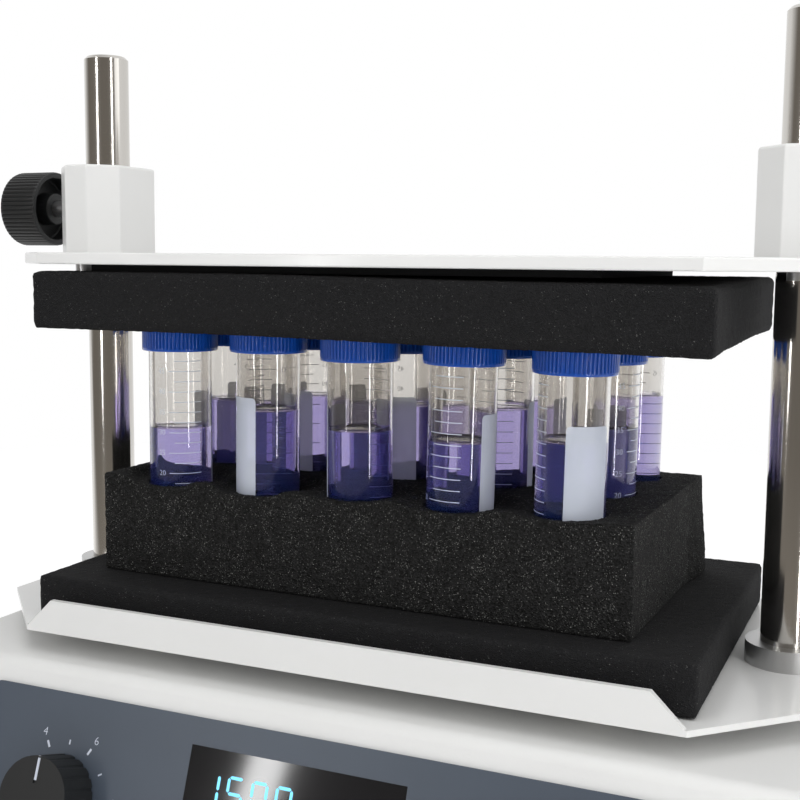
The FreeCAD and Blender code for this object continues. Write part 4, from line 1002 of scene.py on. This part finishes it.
# %% Make the clamp knobs
KNOB_RIBS = 54
KNOB = [
    (0, 12.0), (4.05, 12.0), (4.05, 0.3), (4.3, 0), (7.6, 0), (8.0, 0.4), (8.3, 8.6), (9.0, 9.0), (15.4, 9.0),
    (15.9, 8.5), (16.0, 0.6), (16.5, 0.1), (18.4, 0), (18.8, 0.4, 0.3), (19.0, 1.2, 0.6), (19.0, 20.0, 0.6),
    (18.6, 21.2, 0.3), (17.8, 21.9), (16.8, 22.0), (12.5, 22.0), (12.0, 21.5), (0, 21.5),
]
knob_points, knob_faces = lathe(in_metres(KNOB), KNOB_RIBS * STEPS_PER_RIB, KNOB_RIBS)
for side, sign in (("left", -1), ("right", 1)):
    low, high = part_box(f"{side}_knob")
    rim = high.x if sign < 0 else low.x
    seat = Matrix.Translation((rim, 0, (low.z + high.z) / 2))
    outward = Matrix.Rotation(math.radians(90 * sign), 4, "Y")
    piece = add_piece(
        f"{side}_ribbed_knob", moved(seat @ outward, knob_points), knob_faces,
        f"{side}_clamp_knob", "knob_plastic", sharp=40)
    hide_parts(f"{side}_knob")
print("knob faces:", len(knob_faces))

# %% [markdown]
# ## Prints on the control panel
#
# Scales, signs and figures are thin prints on the solids they belong to. The panel leans back, so a
# print is drawn flat, to the right and up the panel, and is then laid on the panel's plane at the
# height of its solid's front. The scales carry plain numbers; the buttons carry the common signs for
# start, stop and a short burst.

# %% Lay flat drawings on the panel
PANEL_LEAN = math.radians(20)
PANEL_RIGHT = Vector((1, 0, 0))
PANEL_UP = Vector((0, math.sin(PANEL_LEAN), math.cos(PANEL_LEAN)))
PANEL_OUT = Vector((0, -math.cos(PANEL_LEAN), math.sin(PANEL_LEAN)))


def front_of(name):
    """How far a solid reaches along the panel's normal."""
    solid = nodes[name]
    return max(PANEL_OUT.dot(solid.matrix_world @ vertex.co) for vertex in solid.data.vertices)


def on_panel(drawing, name, level):
    """Lay a drawing on the panel's plane at this level, round the middle of a solid."""
    points, faces = drawing
    low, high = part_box(name)
    middle = (low + high) / 2
    across = np.outer(points[:, 0] + PANEL_RIGHT.dot(middle), PANEL_RIGHT)
    upwards = np.outer(points[:, 1] + PANEL_UP.dot(middle), PANEL_UP)
    return across + upwards + level * np.array(PANEL_OUT), faces


print("panel front:", round(front_of("control_panel"), 4))

# %% Flat drawings
def outline(*corners):
    """A flat face with these corners, in millimetres, counted anticlockwise."""
    return np.array(corners, float) * MM, [tuple(range(len(corners)))]


def away_from_up(degrees):
    """The direction on the panel at this angle; 0 degrees is up, and angles grow clockwise."""
    angle = math.radians(degrees)
    return np.array((math.sin(angle), math.cos(angle)))


def spoke(degrees, inner, outer, width):
    """A bar pointing away from a dial's middle."""
    along = away_from_up(degrees)
    across = np.array((along[1], -along[0])) * width / 2
    near, far = along * inner, along * outer
    return outline(near - across, near + across, far + across, far - across)


print("corners of a bar:", len(spoke(0, 1, 2, 1)[0]))

# %% Dial scales and pointers
DIAL_SWEEP = 150
DIAL_STEPS = 10
LONG_MARK, SHORT_MARK = (20, 23.0, 1.0), (20, 22.0, 0.7)
POINTER, POINTER_SINK = (5.8, 15.6, 1.4), 0.3 * MM
DIGIT_REACH, DIGIT_SIZE = 27.0 * MM, 5.0 * MM

prints = []
for name, unit in (("speed_dial", 1), ("time_dial", 5)):
    drawings = []
    for step in range(DIAL_STEPS + 1):
        angle = -DIAL_SWEEP + step * 2 * DIAL_SWEEP / DIAL_STEPS
        if step % 2:
            drawings.append(spoke(angle, *SHORT_MARK))
            continue
        drawings.append(spoke(angle, *LONG_MARK))
        digits, faces = flat_text(str(step * unit), DIGIT_SIZE)
        drawings.append((digits[:, :2] + away_from_up(angle) * DIGIT_REACH, faces))
    prints.append(on_panel(gather(drawings), name, front_of("control_panel") + PRINT_LIFT))
    pointer = on_panel(spoke(0, *POINTER), name, front_of(name) - POINTER_SINK)
    add_piece(f"{name}_pointer", *pointer, name, "knob_plastic", "white_ink")
panel_scales = add_piece("panel_scales", *gather(prints), "base", "panel_plastic", "white_ink")
print("scale faces:", len(panel_scales.data.polygons))

# %% Signs on the buttons
SIGNS = {
    "start_button": [outline((-2.0, -2.6), (2.6, 0), (-2.0, 2.6))],
    "stop_button": [outline((-2.2, -2.2), (2.2, -2.2), (2.2, 2.2), (-2.2, 2.2))],
    "pulse_button": [outline((x, -2.4), (x + 1.2, -2.4), (x + 1.2, 2.4), (x, 2.4)) for x in (-3, -0.6, 1.8)],
}
for name, drawings in SIGNS.items():
    sign = on_panel(gather(drawings), name, front_of(name) + PRINT_LIFT)
    add_piece(f"{name}_sign", *sign, name, "button_plastic", "dark_ink")
print("signs:", len(SIGNS))

# %% [markdown]
# The display shows two plain numbers in the seven-bar figures of such instruments. A figure is a set
# of lit bars, named by letter from the top bar clockwise, with g in the middle.

# %% Figures in the display
BAR_WIDTH, BAR_GAP = 1.3, 0.25
HALF_WIDE, HALF_TALL = 3.2, 6.2
BARS = {
    "a": ((-1, 1), (1, 1)), "b": ((1, 0), (1, 1)), "c": ((1, -1), (1, 0)), "d": ((-1, -1), (1, -1)),
    "e": ((-1, -1), (-1, 0)), "f": ((-1, 0), (-1, 1)), "g": ((-1, 0), (1, 0)),
}
LIT_BARS = {"0": "abcdef", "1": "bc", "5": "afgcd"}
FIGURES = {-36: "1", -25: "5", -14: "0", -3: "0", 24: "1", 35: "0"}


def lit_bar(letter, shift):
    start, end = (np.array((x * HALF_WIDE + shift, y * HALF_TALL)) for x, y in BARS[letter])
    along = (end - start) / np.linalg.norm(end - start)
    across = np.array((along[1], -along[0])) * BAR_WIDTH / 2
    start, end = start + along * BAR_GAP, end - along * BAR_GAP
    near, far = start + along * BAR_WIDTH / 2, end - along * BAR_WIDTH / 2
    return outline(start, near + across, far + across, end, far - across, near - across)


bars = [lit_bar(letter, shift) for shift, figure in FIGURES.items() for letter in LIT_BARS[figure]]
figures = on_panel(gather(bars), "display_window", front_of("display_window") + PRINT_LIFT)
add_piece("display_figures", *figures, "base", "display_lens", "display_light")
print("lit bars:", len(bars))

# %% [markdown]
# The three blades in the mains inlet belong to its black solid, so each gets a thin sleeve of bright
# metal, a hair larger than the blade, from near the socket's floor to just past the blade's tip.

# %% Metal on the inlet's blades
BLADE_PITCH = 7.0 * MM
BLADE_HALF_X, BLADE_HALF_Z = 1.04 * MM, 2.04 * MM
FLOOR_DEPTH, TIP_DEPTH = 16.9 * MM, 6.96 * MM

low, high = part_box("power_inlet")
middle = (low + high) / 2
blades = []
for step in (-1, 0, 1):
    x = middle.x + step * BLADE_PITCH
    corner = (x - BLADE_HALF_X, high.y - FLOOR_DEPTH, middle.z - BLADE_HALF_Z)
    opposite = (x + BLADE_HALF_X, high.y - TIP_DEPTH, middle.z + BLADE_HALF_Z)
    blades.append(box_points(corner, opposite))
add_piece("inlet_blades", *gather(blades), "base", "zinc_steel")
print("inlet blades:", len(blades))

# %% [markdown]
# ## The end
#
# Last, the box round all that is seen is measured and printed. The new pieces change looks, not size,
# so it should be close to the box of the solids.

# %% Measure the visual box and finish
low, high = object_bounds()
print("visual box:", [round(value, 4) for value in (*low, *high)])
